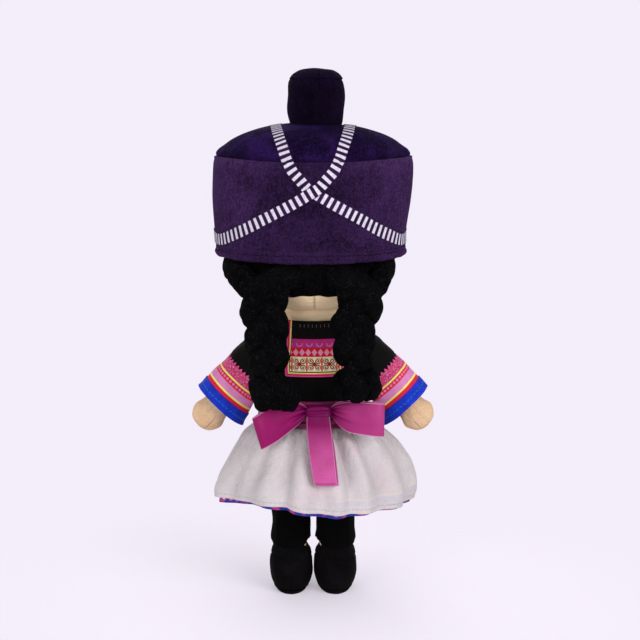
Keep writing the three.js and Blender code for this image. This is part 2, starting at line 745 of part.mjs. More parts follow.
const hatSwell = 1; // how much the side band bulges
const bandForm = [
  { z: bandBottom, wide: hatHalfWidth - 0.5, deep: hatHalfDepth - 0.5, tilt: rimLift },
  { z: bandBottom + bandHeight * 0.3, wide: hatHalfWidth, deep: hatHalfDepth },
  { z: bandBottom + bandHeight * 0.7, wide: hatHalfWidth + hatSwell, deep: hatHalfDepth + hatSwell },
  { z: bandTop, wide: hatHalfWidth - 0.5, deep: hatHalfDepth - 0.5 },
];

function addHat(parent) {
  piece(parent, "hat_side_band", cover(bandForm, hatSides, 0, -hatWall), colour.plum);
  piece(parent, "hat_top_panel", cap(crownForm(), hatSides, hatWall), colour.plum);
  addRim(parent);
  addHatFilling(parent);
  addKnob(parent);
}

function addRim(parent) {
  const middle = rimHeight + rimRadius;
  const out = { wide: hatHalfWidth - rimRadius, deep: hatHalfDepth - rimRadius, tilt: rimLift };
  const rings = [];
  const round = 8;
  for (let i = 0; i < round; i++) {
    const turn = (2 * Math.PI * i) / round;
    rings.push(ring({ ...out, z: middle + rimRadius * Math.sin(turn) }, hatSides, rimRadius * Math.cos(turn)));
  }
  piece(parent, "hat_rim_roll", loft(rings, true), colour.plum);
}

// A ring of lining closes the hat from the rim to the hair, and wadding fills it round the top of the head.
function addHatFilling(parent) {
  const inner = headHalfWidth + hairOuter + seam;
  const innerDeep = headHalfDepth + hairOuter + seam;
  const low = bandBottom + rimLift;
  const outer = hatHalfWidth - hatWall - 2 * seam;
  const outerDeep = hatHalfDepth - hatWall - 2 * seam;
  const liningRings = [[low, 0], [low + cloth, 0], [low + cloth, 1], [low, 1]].map(([z, inside]) =>
    ring(inside ? { z, wide: inner, deep: innerDeep } : { z, wide: outer, deep: outerDeep }, hatSides),
  );
  piece(parent, "hat_lining", loft(liningRings, true), colour.plum);
  const shrink = hatWall + 2 * seam;
  const form = [
    { z: low + cloth + seam + shrink, wide: hatHalfWidth - 0.5, deep: hatHalfDepth - 0.5 },
    ...crownForm().slice(1),
  ].map((station) => ({ ...station, z: station.z - shrink }));
  const wadding = column(form, hatSides, -shrink, shrink, -shrink);
  const headRoom = column(headForm, headSides, hairOuter + seam);
  piece(parent, "hat_stuffing", cutBy(wadding, headRoom), colour.stuffing, 1);
}

function addKnob(parent) {
  const low = domeTop + 2 * seam;
  const capHeight = 9;
  const high = low + knobHeight - capHeight;
  const side = [
    { z: low, wide: knobRadius - 1.2, deep: knobRadius - 1.2 },
    { z: low + 7, wide: knobRadius, deep: knobRadius },
    { z: high - 7, wide: knobRadius, deep: knobRadius },
    { z: high, wide: knobRadius - 2.6, deep: knobRadius - 2.6 },
  ];
  piece(parent, "hat_knob_side", cover(side, bodySides, 0, -hatWall), colour.plum);
  piece(parent, "hat_knob_stuffing", column(side, bodySides / 2, -hatWall - seam), colour.stuffing, 1);
  const top = [[0, 2.6], [0.45, 4.5], [0.85, 10.5], [1, 17.5]].map(([up, shrink]) => ({
    z: high + seam + up * (capHeight - seam),
    wide: knobRadius - shrink,
    deep: knobRadius - shrink,
  }));
  piece(parent, "hat_knob_cap", column(top, bodySides), colour.plum);
}

// The doll

function group(parent, x, y, z) {
  const frame = new THREE.Group();
  frame.position.set(x, y, z);
  parent.add(frame);
  return frame;
}

// The plaits reach farther back than the hat reaches in front, so the whole doll stands a little forward.
const frontReach = hatHalfDepth + hatSwell;
const backReach = plaitBack + plaitLean + tieRadius + tieThickness;

const doll = new THREE.Group();
doll.position.y = (frontReach - backReach) / 2;
addTorso(doll);
addShirt(doll);
addSash(doll);
addKnot(doll);
addLoop(doll, "bow_loop_left", 1, leftLoopReach, leftLoopDroop);
addLoop(doll, "bow_loop_right", -1, rightLoopReach, rightLoopDroop);
addTails(doll);
addSkirts(doll);

const head = group(doll, 0, 0, neckHeight);
addHead(head);
addHat(head);

for (const [name, sign] of sides) {
  const plaitAt = [sign * plaitSpread, plaitBack, plaitTop];
  const hairRoom = column(slice(headForm, 2, rimHeight + 24), headSides, hairOuter + seam);
  hairRoom.translate(...plaitAt.map((value) => -value));
  addPlait(group(head, ...plaitAt), name, sign, hairRoom);

  const arm = group(doll, sign * shoulderSpread, 0, shoulderHeight);
  arm.rotation.y = -sign * THREE.MathUtils.degToRad(armHang);
  addArm(arm, name, sign);

  addLeg(group(doll, sign * hipSpread, 0, hipHeight), name);
}

export default doll;
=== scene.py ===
import bpy
import math
import numpy as np
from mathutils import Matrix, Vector


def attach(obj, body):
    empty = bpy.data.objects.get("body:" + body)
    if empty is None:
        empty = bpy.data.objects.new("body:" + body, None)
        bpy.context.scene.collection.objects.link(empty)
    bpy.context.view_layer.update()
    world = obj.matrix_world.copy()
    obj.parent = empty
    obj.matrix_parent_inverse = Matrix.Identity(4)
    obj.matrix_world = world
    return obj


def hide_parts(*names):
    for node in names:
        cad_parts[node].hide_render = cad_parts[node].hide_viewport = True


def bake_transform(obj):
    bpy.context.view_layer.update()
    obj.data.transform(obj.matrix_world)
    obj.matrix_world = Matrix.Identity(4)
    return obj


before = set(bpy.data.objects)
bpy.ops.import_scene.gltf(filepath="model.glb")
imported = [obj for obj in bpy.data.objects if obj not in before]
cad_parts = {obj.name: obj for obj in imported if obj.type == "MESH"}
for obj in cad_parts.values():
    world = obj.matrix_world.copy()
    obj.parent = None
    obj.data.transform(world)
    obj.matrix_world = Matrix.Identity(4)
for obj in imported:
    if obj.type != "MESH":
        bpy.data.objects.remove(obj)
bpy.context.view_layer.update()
scene = bpy.context.scene

# shapes are in the doll's own millimetres: x to the doll's left, y to its back, z up from the ground
metre = 1000
standForward = 2.226                      # how far the whole doll stands in front of its own middle
sides = (("left", 1), ("right", -1))
hip = dict(out=17.4, up=118.0, radius=14.2)
shoulder = dict(out=40.0, up=186.0, radius=18.4, hang=math.radians(43))
neckUp = 226.0


# shape maths, on whole arrays

def smooth(x, low, high):                 # 0 below low, 1 above high, an S between them
    t = np.clip((np.asarray(x, float) - low) / (high - low), 0, 1)
    return t * t * (3 - 2 * t)


def bell(x, middle, width):               # a bump of height 1: e to the minus (distance / width) squared
    return np.exp(-((np.asarray(x, float) - middle) / width) ** 2)


def span(a, b, c, d, f):                  # the Catmull-Rom curve a share f of the way from b to c
    bowed, twisted = 2 * a - 5 * b + 4 * c - d, 3 * b - a - 3 * c + d
    return 0.5 * (2 * b + (c - a) * f + bowed * f ** 2 + twisted * f ** 3)


def curve(stations, count):               # a smooth curve through the stations, in count samples
    p = np.asarray(stations, float)
    p = np.vstack([2 * p[0] - p[1], p, 2 * p[-1] - p[-2]])
    t = np.linspace(0, len(p) - 3, count)
    i = np.clip(t.astype(int), 0, len(p) - 4)
    return span(p[i], p[i + 1], p[i + 2], p[i + 3], (t - i)[:, None])


def closedCurve(stations, count):         # the same, running on from the last station into the first
    p = np.asarray(stations, float)
    t = np.linspace(0, len(p), count, endpoint=False)
    i = t.astype(int)
    a, b, c, d = (np.take(p, i + k, 0, mode="wrap") for k in (-1, 0, 1, 2))
    return span(a, b, c, d, (t - i)[:, None])


def reaches(stations, z):                 # a form's half width and half depth at given heights
    fine = curve(stations, 400)
    order = np.argsort(fine[:, 0])
    fine = fine[order]
    return np.interp(z, fine[:, 0], fine[:, 1]), np.interp(z, fine[:, 0], fine[:, 2])


def turns(cols, start=-90):               # even angles round a ring, in radians, the first at the front
    return np.radians(start) + np.linspace(0, 2 * np.pi, cols, endpoint=False)


def ovals(z, wide, deep, angle, side=0, back=0):   # one ellipse for each height: x = wide cos, y = deep sin
    z, wide, deep = (np.asarray(v, float)[:, None] for v in (z, wide, deep))
    side, back = (np.broadcast_to(v, z[:, 0].shape)[:, None] for v in (side, back))
    x = side + wide * np.cos(angle)
    y = back + deep * np.sin(angle)
    return np.stack([x, y, z + 0 * x], -1)


def form(stations, rows, cols):
    # ovals on the curve through stations of height, half width, half depth and how far the middle is shifted
    s = curve([list(row) + [0] * (5 - len(row)) for row in stations], rows)
    return ovals(s[:, 0], np.maximum(s[:, 1], 0.3), np.maximum(s[:, 2], 0.3), turns(cols), s[:, 3], s[:, 4])


def normals(p, wrap=True):                # unit normals of a grid: the cross product of its two directions
    along = np.gradient(p, axis=0)
    around = (np.roll(p, -1, 1) - np.roll(p, 1, 1)) if wrap else np.gradient(p, axis=1)
    n = np.cross(around, along)
    return n / np.maximum(np.linalg.norm(n, axis=2, keepdims=True), 1e-9)


def puff(p, amount):                      # moves every point of a closed ring's surface along its normal
    return p + normals(p) * np.asarray(amount)[..., None]


def crumple(p, seed, count, length):      # wrinkles in space: sines of their own direction, length and phase
    rng = np.random.default_rng(seed)
    way = rng.normal(size=(count, 3))
    way /= np.linalg.norm(way, axis=1, keepdims=True)
    size = length * rng.uniform(0.6, 1.7, count)
    phase = rng.uniform(0, 2 * np.pi, count)
    waves = np.sin(2 * np.pi * np.tensordot(p, way.T, 1) / size + phase)
    return waves.sum(-1) / count ** 0.5


def keepOut(p, a, b, ra, rb):             # points in a tapered capsule from a to b move out to its surface
    a, b = np.asarray(a, float), np.asarray(b, float)
    way = b - a
    t = np.clip(((p - a) @ way) / (way @ way), 0, 1)[..., None]
    off = p - (a + t * way)
    far = np.linalg.norm(off, axis=-1, keepdims=True)
    radius = ra + t * (rb - ra)
    return np.where(far < radius, a + t * way + off / np.maximum(far, 1e-6) * radius, p)


def tube(path, radius, count, squash=1.0):
    # rings of a radius carried along a path, square to it; squash flattens them from front to back
    way = np.gradient(path, axis=0)
    way /= np.linalg.norm(way, axis=1, keepdims=True)
    first = np.cross(way, (0, 1, 0))
    first /= np.linalg.norm(first, axis=1, keepdims=True)
    second = np.cross(first, way)
    angle = turns(count, 0)
    r = np.asarray(radius, float)[:, None, None]
    return (path[:, None] + r * (first[:, None] * np.cos(angle)[:, None]
                                 + squash * second[:, None] * np.sin(angle)[:, None]))


def shell(p, thickness, wrap=True, flip=1):   # a sheet and, behind it, the same sheet a thickness further in
    inner = p - flip * normals(p, wrap) * thickness
    return np.concatenate([p, inner[::-1]], 0)


def openShell(p, thickness, column=0):    # the same for an open sheet, its second face on the doll's side
    solid = shell(p, thickness, wrap=False)
    if np.linalg.norm(solid[-1, column, :2]) > np.linalg.norm(solid[0, column, :2]):
        solid = shell(p, thickness, wrap=False, flip=-1)
    return solid


def bothFaces(grid):                      # a sheet's pattern, then the same in reverse for its second face
    return np.concatenate([grid, grid[::-1]], 0)


def inArm(p, sign):                       # from the arm's frame, whose -z runs along it, to the doll's
    a = -sign * shoulder["hang"]
    x, y, z = p[..., 0], p[..., 1], p[..., 2]
    return np.stack([x * math.cos(a) + z * math.sin(a) + sign * shoulder["out"], y,
                     z * math.cos(a) - x * math.sin(a) + shoulder["up"]], -1)


# meshes

def corner(values, wrapRows):             # the four corner values of every quad of a grid
    down = np.roll(values, -1, 0) if wrapRows else values[1:]
    here = values if wrapRows else values[:-1]
    return np.stack([here[:, :-1], here[:, 1:], down[:, 1:], down[:, :-1]], 2)


def addPiece(name, p, body, finish, nodes, wrap=True, wrapRows=False, capped=False, sheetSides=False,
             pattern=None, inside=None):
    # a grid of points becomes quads; wrap joins the last column to the first, wrapRows the last row likewise
    rows, cols = p.shape[:2]
    closed = np.concatenate([p, p[:, :1]], 1) if wrap else p
    ids = np.arange(rows * cols).reshape(rows, cols)
    ids = np.concatenate([ids, ids[:, :1]], 1) if wrap else ids
    across, down = (np.linalg.norm(np.diff(closed, axis=k), axis=2) for k in (1, 0))
    u = np.concatenate([np.zeros((rows, 1)), np.cumsum(across, 1)], 1)
    u -= u[:, -1:] / 2
    v = np.concatenate([[0], np.cumsum(down.mean(1))])[:, None] + 0 * u
    maps = {"cloth": np.stack([u, v], -1) / metre}     # lengths on the piece itself: round it and along it
    if pattern is not None:
        maps["pattern"] = np.asarray(pattern, float)
    quads = corner(ids, wrapRows).reshape(-1, 4)
    corners = {key: corner(value, wrapRows).reshape(-1, 4, 2) for key, value in maps.items()}
    points = p.reshape(-1, 3)
    triangles = np.zeros((0, 3), int)
    fans = {key: np.zeros((0, 3, 2)) for key in maps}
    for row, order in ((0, (1, 0)), (rows - 1, (0, 1))) if capped else ():   # a fan closes each end row
        middle = len(points)
        points = np.vstack([points, p[row].mean(0)])
        pair = np.stack([ids[row, :-1], ids[row, 1:]], 1)[:, order]
        triangles = np.vstack([triangles, np.column_stack([np.full(len(pair), middle), pair])])
        for key, value in maps.items():
            edge = np.stack([value[row, :-1], value[row, 1:]], 1)[:, order]
            fans[key] = np.concatenate([fans[key], np.concatenate([edge.mean(1, keepdims=True), edge], 1)])
    if sheetSides:                        # quads join a sheet's two faces along its first and last columns
        half = rows // 2
        i = np.arange(half - 1)
        for column, order in ((0, (0, 1, 2, 3)), (-1, (1, 0, 3, 2))):
            rim = np.stack([i, i + 1, rows - 2 - i, rows - 1 - i], 1)[:, order]
            quads = np.vstack([quads, ids[rim, column]])
            for key, value in maps.items():
                corners[key] = np.concatenate([corners[key], value[rim, column]])
    middle = points.mean(0) if inside is None else np.asarray(inside, float)
    face = points[quads]
    way = np.cross(face[:, 2] - face[:, 0], face[:, 3] - face[:, 1])
    if ((face.mean(1) - middle) * way).sum() < 0:
        quads, triangles = quads[:, ::-1], triangles[:, ::-1]
        corners = {key: value[:, ::-1] for key, value in corners.items()}
        fans = {key: value[:, ::-1] for key, value in fans.items()}
    mesh = bpy.data.meshes.new(name)
    placed = (points - (0, standForward, 0)) / metre
    mesh.from_pydata(placed.tolist(), [], quads.tolist() + triangles.tolist())
    for key in maps:
        layer = mesh.uv_layers.new(name=key)
        flat = np.concatenate([corners[key].reshape(-1, 2), fans[key].reshape(-1, 2)])
        layer.data.foreach_set("uv", flat.astype(np.float32).ravel())
    mesh.polygons.foreach_set("use_smooth", [True] * len(mesh.polygons))
    mesh.materials.append(finish)
    mesh.update()
    piece = bpy.data.objects.new(name, mesh)
    scene.collection.objects.link(piece)
    if isinstance(body, tuple):           # a piece given two bodies and two points keeps its place baked into its mesh, tied to no body
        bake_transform(piece)
    else:
        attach(piece, body)
    if nodes:
        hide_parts(*nodes)
    return piece


def patternGrid(size, u, v):              # a pattern's own coordinates for each grid point, in millimetres
    return np.stack([np.broadcast_to(u, size), np.broadcast_to(v, size)], -1)


leastCut = 0.0105                         # metres: a narrow strip's cut, with its edges turned under


def declareSheet(piece, p, wrap=True):
    # the sheet's flat size is its longest row and its mean column; its area is summed over the grid's quads
    closed = np.concatenate([p, p[:, :1]], 1) if wrap else p
    across = np.linalg.norm(np.diff(closed, axis=1), axis=2).sum(1)
    down = np.linalg.norm(np.diff(closed, axis=0), axis=2).sum(0)
    a, b = closed[1:, 1:] - closed[:-1, :-1], closed[1:, :-1] - closed[:-1, 1:]
    area = np.linalg.norm(np.cross(a, b), axis=2).sum() / 2 / metre ** 2
    flat = (max(across.max() / metre, leastCut), max(down.mean() / metre, leastCut))
    whole = flat[0] * flat[1]
    float(np.clip(area, 0.3 * whole, whole))
    print("sheet", piece.name, "flat", round(flat[0], 4), "by", round(flat[1], 4), "m, area", round(area, 5))


# finishes

def tint(code):                           # a colour written as on a web page, made linear
    part = np.array([int(code[i:i + 2], 16) for i in (1, 3, 5)]) / 255
    linear = np.where(part <= 0.04045, part / 12.92, ((part + 0.055) / 1.055) ** 2.4)
    return (*linear.tolist(), 1.0)


class Wire:                               # one socket; sums, products and comparisons of wires add Math nodes
    def __init__(self, shop, socket):
        self.shop, self.socket = shop, socket

    def math(self, operation, *others):
        links = dict(enumerate((self, *others)))
        return self.shop.node("ShaderNodeMath", dict(operation=operation), links)

    def __add__(self, other):
        return self.math("ADD", other)

    def __radd__(self, other):
        return self.math("ADD", other)

    def __mul__(self, other):
        return self.math("MULTIPLY", other)

    def __rmul__(self, other):
        return self.math("MULTIPLY", other)

    def __sub__(self, other):
        return self.math("SUBTRACT", other)

    def __rsub__(self, other):
        return self.shop.node("ShaderNodeMath", dict(operation="SUBTRACT"), {0: other, 1: self})

    def __truediv__(self, other):
        return self.math("DIVIDE", other)

    def __rtruediv__(self, other):
        return self.shop.node("ShaderNodeMath", dict(operation="DIVIDE"), {0: other, 1: self})

    def __pow__(self, other):
        return self.math("POWER", other)

    def __gt__(self, other):
        return self.math("GREATER_THAN", other)

    def __lt__(self, other):
        return self.math("LESS_THAN", other)

    def sin(self):
        return self.math("SINE")

    def abs(self):
        return self.math("ABSOLUTE")

    def over(self, other):                # the angle of this height over that width
        return self.math("ARCTAN2", other)

    def step(self, low, high):            # 0 below low, 1 above high, straight between them
        settings = dict(clamp=True)
        return self.shop.node("ShaderNodeMapRange", settings, {0: self, 1: low, 2: high, 3: 0, 4: 1})

    def saw(self, period):                # distance past the last whole period
        return self.math("FLOORED_MODULO", period)

    def near(self, period):               # signed distance to the nearest middle of a period
        return self.saw(period) - period / 2

    def atLeast(self, other):
        return self.math("MAXIMUM", other)

    def atMost(self, other):
        return self.math("MINIMUM", other)


class Shop:                               # one material and the nodes in it
    def __init__(self, name, **plain):
        self.material = bpy.data.materials.new(name)
        self.material.use_nodes = True
        self.tree = self.material.node_tree
        self.surface = self.tree.nodes["Principled BSDF"]
        for socket, value in plain.items():
            self.surface.inputs[socket.replace("_", " ")].default_value = value

    def put(self, socket, value):
        if isinstance(value, Wire):
            self.tree.links.new(value.socket, socket)
        else:
            socket.default_value = value

    def node(self, kind, settings=None, links=None, out=0):
        made = self.tree.nodes.new(kind)
        settings = dict(settings or {})
        stops = settings.pop("stops", None)
        for key, value in settings.items():
            setattr(made, key, value)
        if stops:                         # hard-edged colours in place of the ramp's own two stops
            ramp = made.color_ramp
            ramp.interpolation = "CONSTANT"
            for place, colour in stops:
                ramp.elements.new(place).color = colour
            ramp.elements.remove(ramp.elements[-1])
            ramp.elements.remove(ramp.elements[0])
        for key, value in (links or {}).items():
            self.put(made.inputs[key], value)
        return Wire(self, made.outputs[out])

    def mix(self, factor, a, b):
        return self.node("ShaderNodeMix", dict(data_type="RGBA"), {0: factor, 6: a, 7: b}, 2)

    def uv(self, name):                   # the two coordinates of a UV map, as two wires
        place = self.node("ShaderNodeUVMap", dict(uv_map=name))
        return [self.node("ShaderNodeSeparateXYZ", links={0: place}, out=k) for k in (0, 1)]

    def point(self, *parts):              # two or three numbers or wires as one place
        return self.node("ShaderNodeCombineXYZ", links=dict(enumerate(parts)))

    def place(self):                      # the place on the piece itself, in metres
        return self.node("ShaderNodeTexCoord", out=3)

    def xyz(self):
        place = self.place()
        return [self.node("ShaderNodeSeparateXYZ", links={0: place}, out=k) for k in (0, 1, 2)]

    def noise(self, scale, detail=3, rough=0.5, where=None, bend=0):
        links = {"Vector": where or self.place(), "Scale": scale, "Detail": detail, "Roughness": rough,
                 "Distortion": bend}
        return self.node("ShaderNodeTexNoise", links=links)

    def cells(self, scale):
        return self.node("ShaderNodeTexVoronoi", links={"Vector": self.place(), "Scale": scale})

    def slubs(self, u, v, slow, fast):    # threads of uneven thickness, along both directions of the cloth
        weft, warp = self.point(u * slow, v * fast), self.point(u * fast, v * slow)
        return self.noise(1.0, 2, where=weft) * 0.5 + self.noise(1.0, 2, where=warp) * 0.5

    def bands(self, value, length, stops):   # hard-edged stripes: each stop is where a colour starts
        marks = [(min(0.9999, max(0.0001, at / length)), colour) for at, colour in stops]
        return self.node("ShaderNodeValToRGB", dict(stops=marks), {0: value / length})

    def done(self, colour, height=None, deep=0.0005, strength=0.6, rough=None):
        self.put(self.surface.inputs["Base Color"], colour)
        if rough is not None:
            self.put(self.surface.inputs["Roughness"], rough)
        if height is not None:
            links = {"Height": height, "Distance": deep, "Strength": strength}
            self.put(self.surface.inputs["Normal"], self.node("ShaderNodeBump", links=links))
        return self.material


def shade(colour, k):                     # the same colour, k times as bright
    return (*[min(1.0, c * k) for c in colour[:3]], 1.0)


def plush(name, dark, light, pile, patch=0.5, sheen=0.1, speck=None, seams=None, gloss=0.12, pileTint=None,
          lift=1.0):
    # short pile of a length in metres: fine noise for the tufts, clumps brushed downwards, broad worn patches
    shop = Shop(name, Roughness=0.9, Sheen_Weight=sheen, Sheen_Roughness=0.4, Specular_IOR_Level=gloss)
    shop.surface.inputs["Sheen Tint"].default_value = pileTint or light
    x, y, z = shop.xyz()
    combed = shop.point(x, y, z * 0.6)
    tuft = shop.noise(0.7 / pile, 4, 0.7)
    fine = shop.noise(1.9 / pile, 3, 0.7)
    clump = shop.noise(0.36 / pile, 4, 0.75, where=combed, bend=0.4)
    brushed = shop.noise(34, 3, 0.55, bend=0.6)
    level = clump.step(0.45, 0.56) * 0.25 + tuft.step(0.475, 0.545) * 0.55 + fine.step(0.46, 0.54) * 0.2
    level = level * (1 - patch) + brushed.step(0.43, 0.58) * patch
    colour = shop.mix(level, dark, light)
    if speck:
        glint = shop.cells(0.9 / pile).step(0.32, 0.1) * shop.noise(200, 2).step(0.48, 0.6)
        colour = shop.mix(glint * 0.16, colour, speck)
    height = tuft * 0.8 + fine * 0.4 + clump * 0.8
    if seams:
        colour, groove = seams(shop, colour)
        height = height - groove
    return shop.done(colour, height, pile * lift, 0.9)


def threads(u, v, pitch):                 # a plain weave: over and under in turns along both threads
    a = (u * (math.pi / pitch)).sin()
    b = (v * (math.pi / pitch)).sin()
    return (a * b).abs() * 0.6 + (a.abs() + b.abs()) * 0.2


def wovenCloth(name, colours, sheen=0.05, crease=0.35, gloss=0.3):
    # plain woven cotton: threads of slightly different shades, with creases and wear from noise
    shop = Shop(name, Sheen_Weight=sheen, Specular_IOR_Level=gloss)
    u, v = shop.uv("cloth")
    slub = shop.slubs(u, v, 40, 1400)
    worn = shop.noise(38, 4, 0.6)
    level = slub.step(0.35, 0.65) * 0.6 + worn.step(0.35, 0.7) * 0.4
    colour = shop.mix(level, colours[0], colours[1])
    wrinkle = shop.noise(120, 3, 0.5, bend=0.8)
    height = threads(u, v, 0.00045) * 0.35 + slub * 0.3 + wrinkle * crease
    return shop.done(colour, height, 0.0004, 0.5, worn * 0.1 + 0.8)


def runningStitch(u, v, at, pitch, width, share):
    # dashes along a line of a pattern, at a height; each takes a share of its pitch
    across = (v - at).abs().step(width, width * 0.4)
    half = pitch * share / 2
    return across * u.near(pitch).abs().step(half, half * 0.6)


print("shape maths and finishes ready")

skinDark, skinLight = tint("#d8b08c"), tint("#f6dabb")
hairDark, hairLight = tint("#010102"), tint("#0b0a0c")
plumDark, plumLight = tint("#030008"), tint("#492a61")
blackDark, blackLight = tint("#040404"), tint("#100d0f")
magenta = dict(deep=tint("#5c0240"), mid=tint("#98065e"), pale=tint("#de6cb4"))
whiteCotton = (tint("#b3aaae"), tint("#d4ccd0"))
palette = dict(red=tint("#dc1826"), pink=tint("#e5549a"), floral=tint("#c4226e"), maroon=tint("#9c1a12"),
               yellow=tint("#f3e27c"), cream=tint("#f6f0cc"), white=tint("#eeeaf2"), black=tint("#050405"),
               blue=tint("#0a36cf"), blueDark=tint("#0524a4"), teal=tint("#1383c0"), purple=tint("#4a1c6e"),
               lilac=tint("#d783bd"), paleLilac=tint("#cf9fd8"))


# skin: torso, head, arms and legs

def skinMarksAndPaintedLight(shop, colour):
    # blushed cheeks, a nape painted paler as painted light, hands painted browner as painted shade, and seams
    # down the back of the head and across the hands
    x, y, z = shop.xyz()
    cheek = (x.abs() - 0.030) / 0.0085
    rise = (z - 0.2455) / 0.0065
    away = (cheek * cheek + rise * rise) ** 0.5
    front = (y * -1).step(0.018, 0.03)
    blush = away.step(1.25, 0.2) * front
    colour = shop.mix(blush * 0.4, colour, tint("#d9777a"))
    # painted light: the nape is mixed paler, lifting the shade that the hat and hair cast on the neck
    paintedNapeLight = z.step(0.252, 0.243) * z.step(0.206, 0.214) * y.step(0.0, 0.01) * x.abs().step(0.04, 0.03)
    colour = shop.mix(paintedNapeLight * 0.8, colour, tint("#ffe4bd"))
    line = (x + 0.0012).abs().step(0.0008, 0.0003) * y.step(0.0, 0.01) * z.step(0.226, 0.229)
    # painted shade: the hands, out at the sides, are mixed towards a darker brown
    colour = shop.mix(x.abs().step(0.05, 0.075) * 0.4, colour, tint("#c49a76"))
    crease = (z + x.abs() * 1.1 - 0.2235).abs().step(0.0009, 0.0003)
    line = line.atLeast(crease * x.abs().step(0.074, 0.079) * y.step(0.0, 0.004))
    return shop.mix(line * 0.3, colour, tint("#8a6547")), line * 0.9


skinPlush = plush("skin_velour", skinDark, skinLight, 0.0009, patch=0.4, sheen=0.1, seams=skinMarksAndPaintedLight)
torsoStations = [(126.5, 33, 25), (128, 35, 26.5), (136, 37, 28.5), (157, 37, 28.5), (178, 38, 27),
                 (191, 38, 26), (202, 33, 24.5), (211, 26.5, 23.5), (216, 20.5, 20.5), (222, 22.1, 22.1),
                 (230, 22.1, 22.1), (237, 19.6, 19.6), (243, 14.7, 14.7)]


def roomForLimbs(p, gap):                 # the body gives way round the shoulders, hanging sleeves and hips
    for _, sign in sides:
        top = inArm(np.zeros(3), sign)
        end = inArm(np.array([0, 0, -40.0]), sign)
        p = keepOut(p, top, end, shoulder["radius"] + gap, shoulder["radius"] + 1.6 + gap)
        middle = np.array([sign * hip["out"], 0, hip["up"]])
        p = keepOut(p, middle, middle + (0, 0, -1), hip["radius"] + gap, hip["radius"] + gap)
    return p


def makeTorso():
    p = form(torsoStations, 110, 120)
    neck = p[..., 2]
    fold = 0.7 * bell(neck, 226.5, 1.2) + 0.35 * bell(neck, 220.5, 1.6) * (1 + crumple(p, 3, 5, 14))
    p = roomForLimbs(puff(p, 0.25 * crumple(p, 4, 6, 16) - fold), 0.5)
    piece = addPiece("torso_skin_plush", p, "torso", skinPlush,
                     ["torso_skin", "torso_stuffing"], capped=True)


headStations = [(226, 24.5, 24.2), (230, 35.5, 32), (237, 46, 41), (249, 55, 48), (264, 60, 51.5),
                (284, 61, 52), (300, 56, 48), (318, 42, 36), (328, 19, 16), (330, 4, 4)]


def makeHead():
    p = form(headStations, 150, 200)
    x, y, z = p[..., 0], p[..., 1], p[..., 2]
    backSeam = 0.7 * bell(x, -1.2, 0.9) * (y > 0) * smooth(z, 226, 229)
    pucker = 0.35 * np.sin(z * 2.1) * bell(x, -1.2, 5) * (y > 0) * bell(z, 231, 6)
    p = puff(p, 0.35 * crumple(p, 8, 7, 22) - backSeam + pucker)
    piece = addPiece("head_skin_plush", p, "head", skinPlush, ["head_skin", "head_stuffing"],
                     capped=True)


def headFront(x, z):                      # how far forward the face is at a place, read off the head's ovals
    wide, deep = reaches(headStations, z)
    return -deep * np.sqrt(np.maximum(0, 1 - (x / wide) ** 2))


def makeFace():
    thread = Shop("eye_thread", Roughness=0.38, Coat_Weight=0.25)
    u, v = thread.uv("pattern")
    satin = (u * 9).sin() * 0.5 + 0.5
    glintAt = ((u - 0.9) * (u - 0.9) + (v - 1.5) * (v - 1.5)) ** 0.5
    eyeColour = thread.mix(thread.noise(900, 2).step(0.3, 0.7) * 0.6, tint("#0d0908"), tint("#2b1d18"))
    eyeColour = thread.mix(glintAt.step(1.05, 0.8), eyeColour, tint("#f4f0ea"))
    eyeThread = thread.done(eyeColour, satin, 0.0003, 0.6)
    eye = dict(out=18, up=24, wide=3.6, high=4.8, proud=1.1, sunk=0.5)
    radius = np.concatenate([np.linspace(0.02, 1, 8), np.linspace(1, 0.02, 14)[1:]])[:, None]
    front = np.concatenate([np.zeros(8), np.ones(13)])[:, None]
    angle = turns(36, 0)[None]
    for name, sign in sides:
        dx, dz = eye["wide"] * radius * np.cos(angle), eye["high"] * radius * np.sin(angle)
        x, z = sign * eye["out"] + dx, neckUp + eye["up"] + dz
        dome = eye["proud"] * np.sqrt(np.maximum(0, 1 - radius ** 2)) + 0.15
        lift = np.where(front > 0, dome, -eye["sunk"])
        p = np.stack([x, headFront(x, z) - lift, z], -1)
        marks = np.stack([np.concatenate([dx, dx[:, :1]], 1), np.concatenate([dz, dz[:, :1]], 1)], -1)
        addPiece(f"eye_{name}_embroidery", p, "head", eyeThread, ["eye_" + name],
                 capped=True, pattern=marks)
    lip = Shop("mouth_thread", Roughness=0.5)
    u, v = lip.uv("cloth")
    twist = ((u * 1800 + v * 2600).sin()).abs()
    lipThread = lip.done(lip.mix(twist, tint("#7e1626"), tint("#c43a48")), twist, 0.0003, 0.7)
    mouth = dict(half=5, up=12, smile=1.9, thick=0.75, out=0.35)
    x = np.linspace(-mouth["half"], mouth["half"], 40)
    z = neckUp + mouth["up"] + mouth["smile"] * (x / mouth["half"]) ** 2
    path = np.stack([x, headFront(x, z) - mouth["out"], z], -1)
    p = tube(path, mouth["thick"] * np.sqrt(np.maximum(0.02, 1 - (x / 5.2) ** 4)), 14)
    addPiece("mouth_embroidery", p, "head", lipThread, ["mouth"], capped=True)


armStations = [(-73, 1.5, 1), (-72.2, 5.5, 3.4), (-69.5, 9.6, 6.6), (-62, 13.4, 9.6), (-53, 11.6, 9.6),
               (-40, 12, 11), (-18, 12.6, 12.1), (-4, 16.2, 16.2), (0, 16.4, 16.4), (6, 15.3, 15.3),
               (11, 12.3, 12.3), (13, 10, 10)]


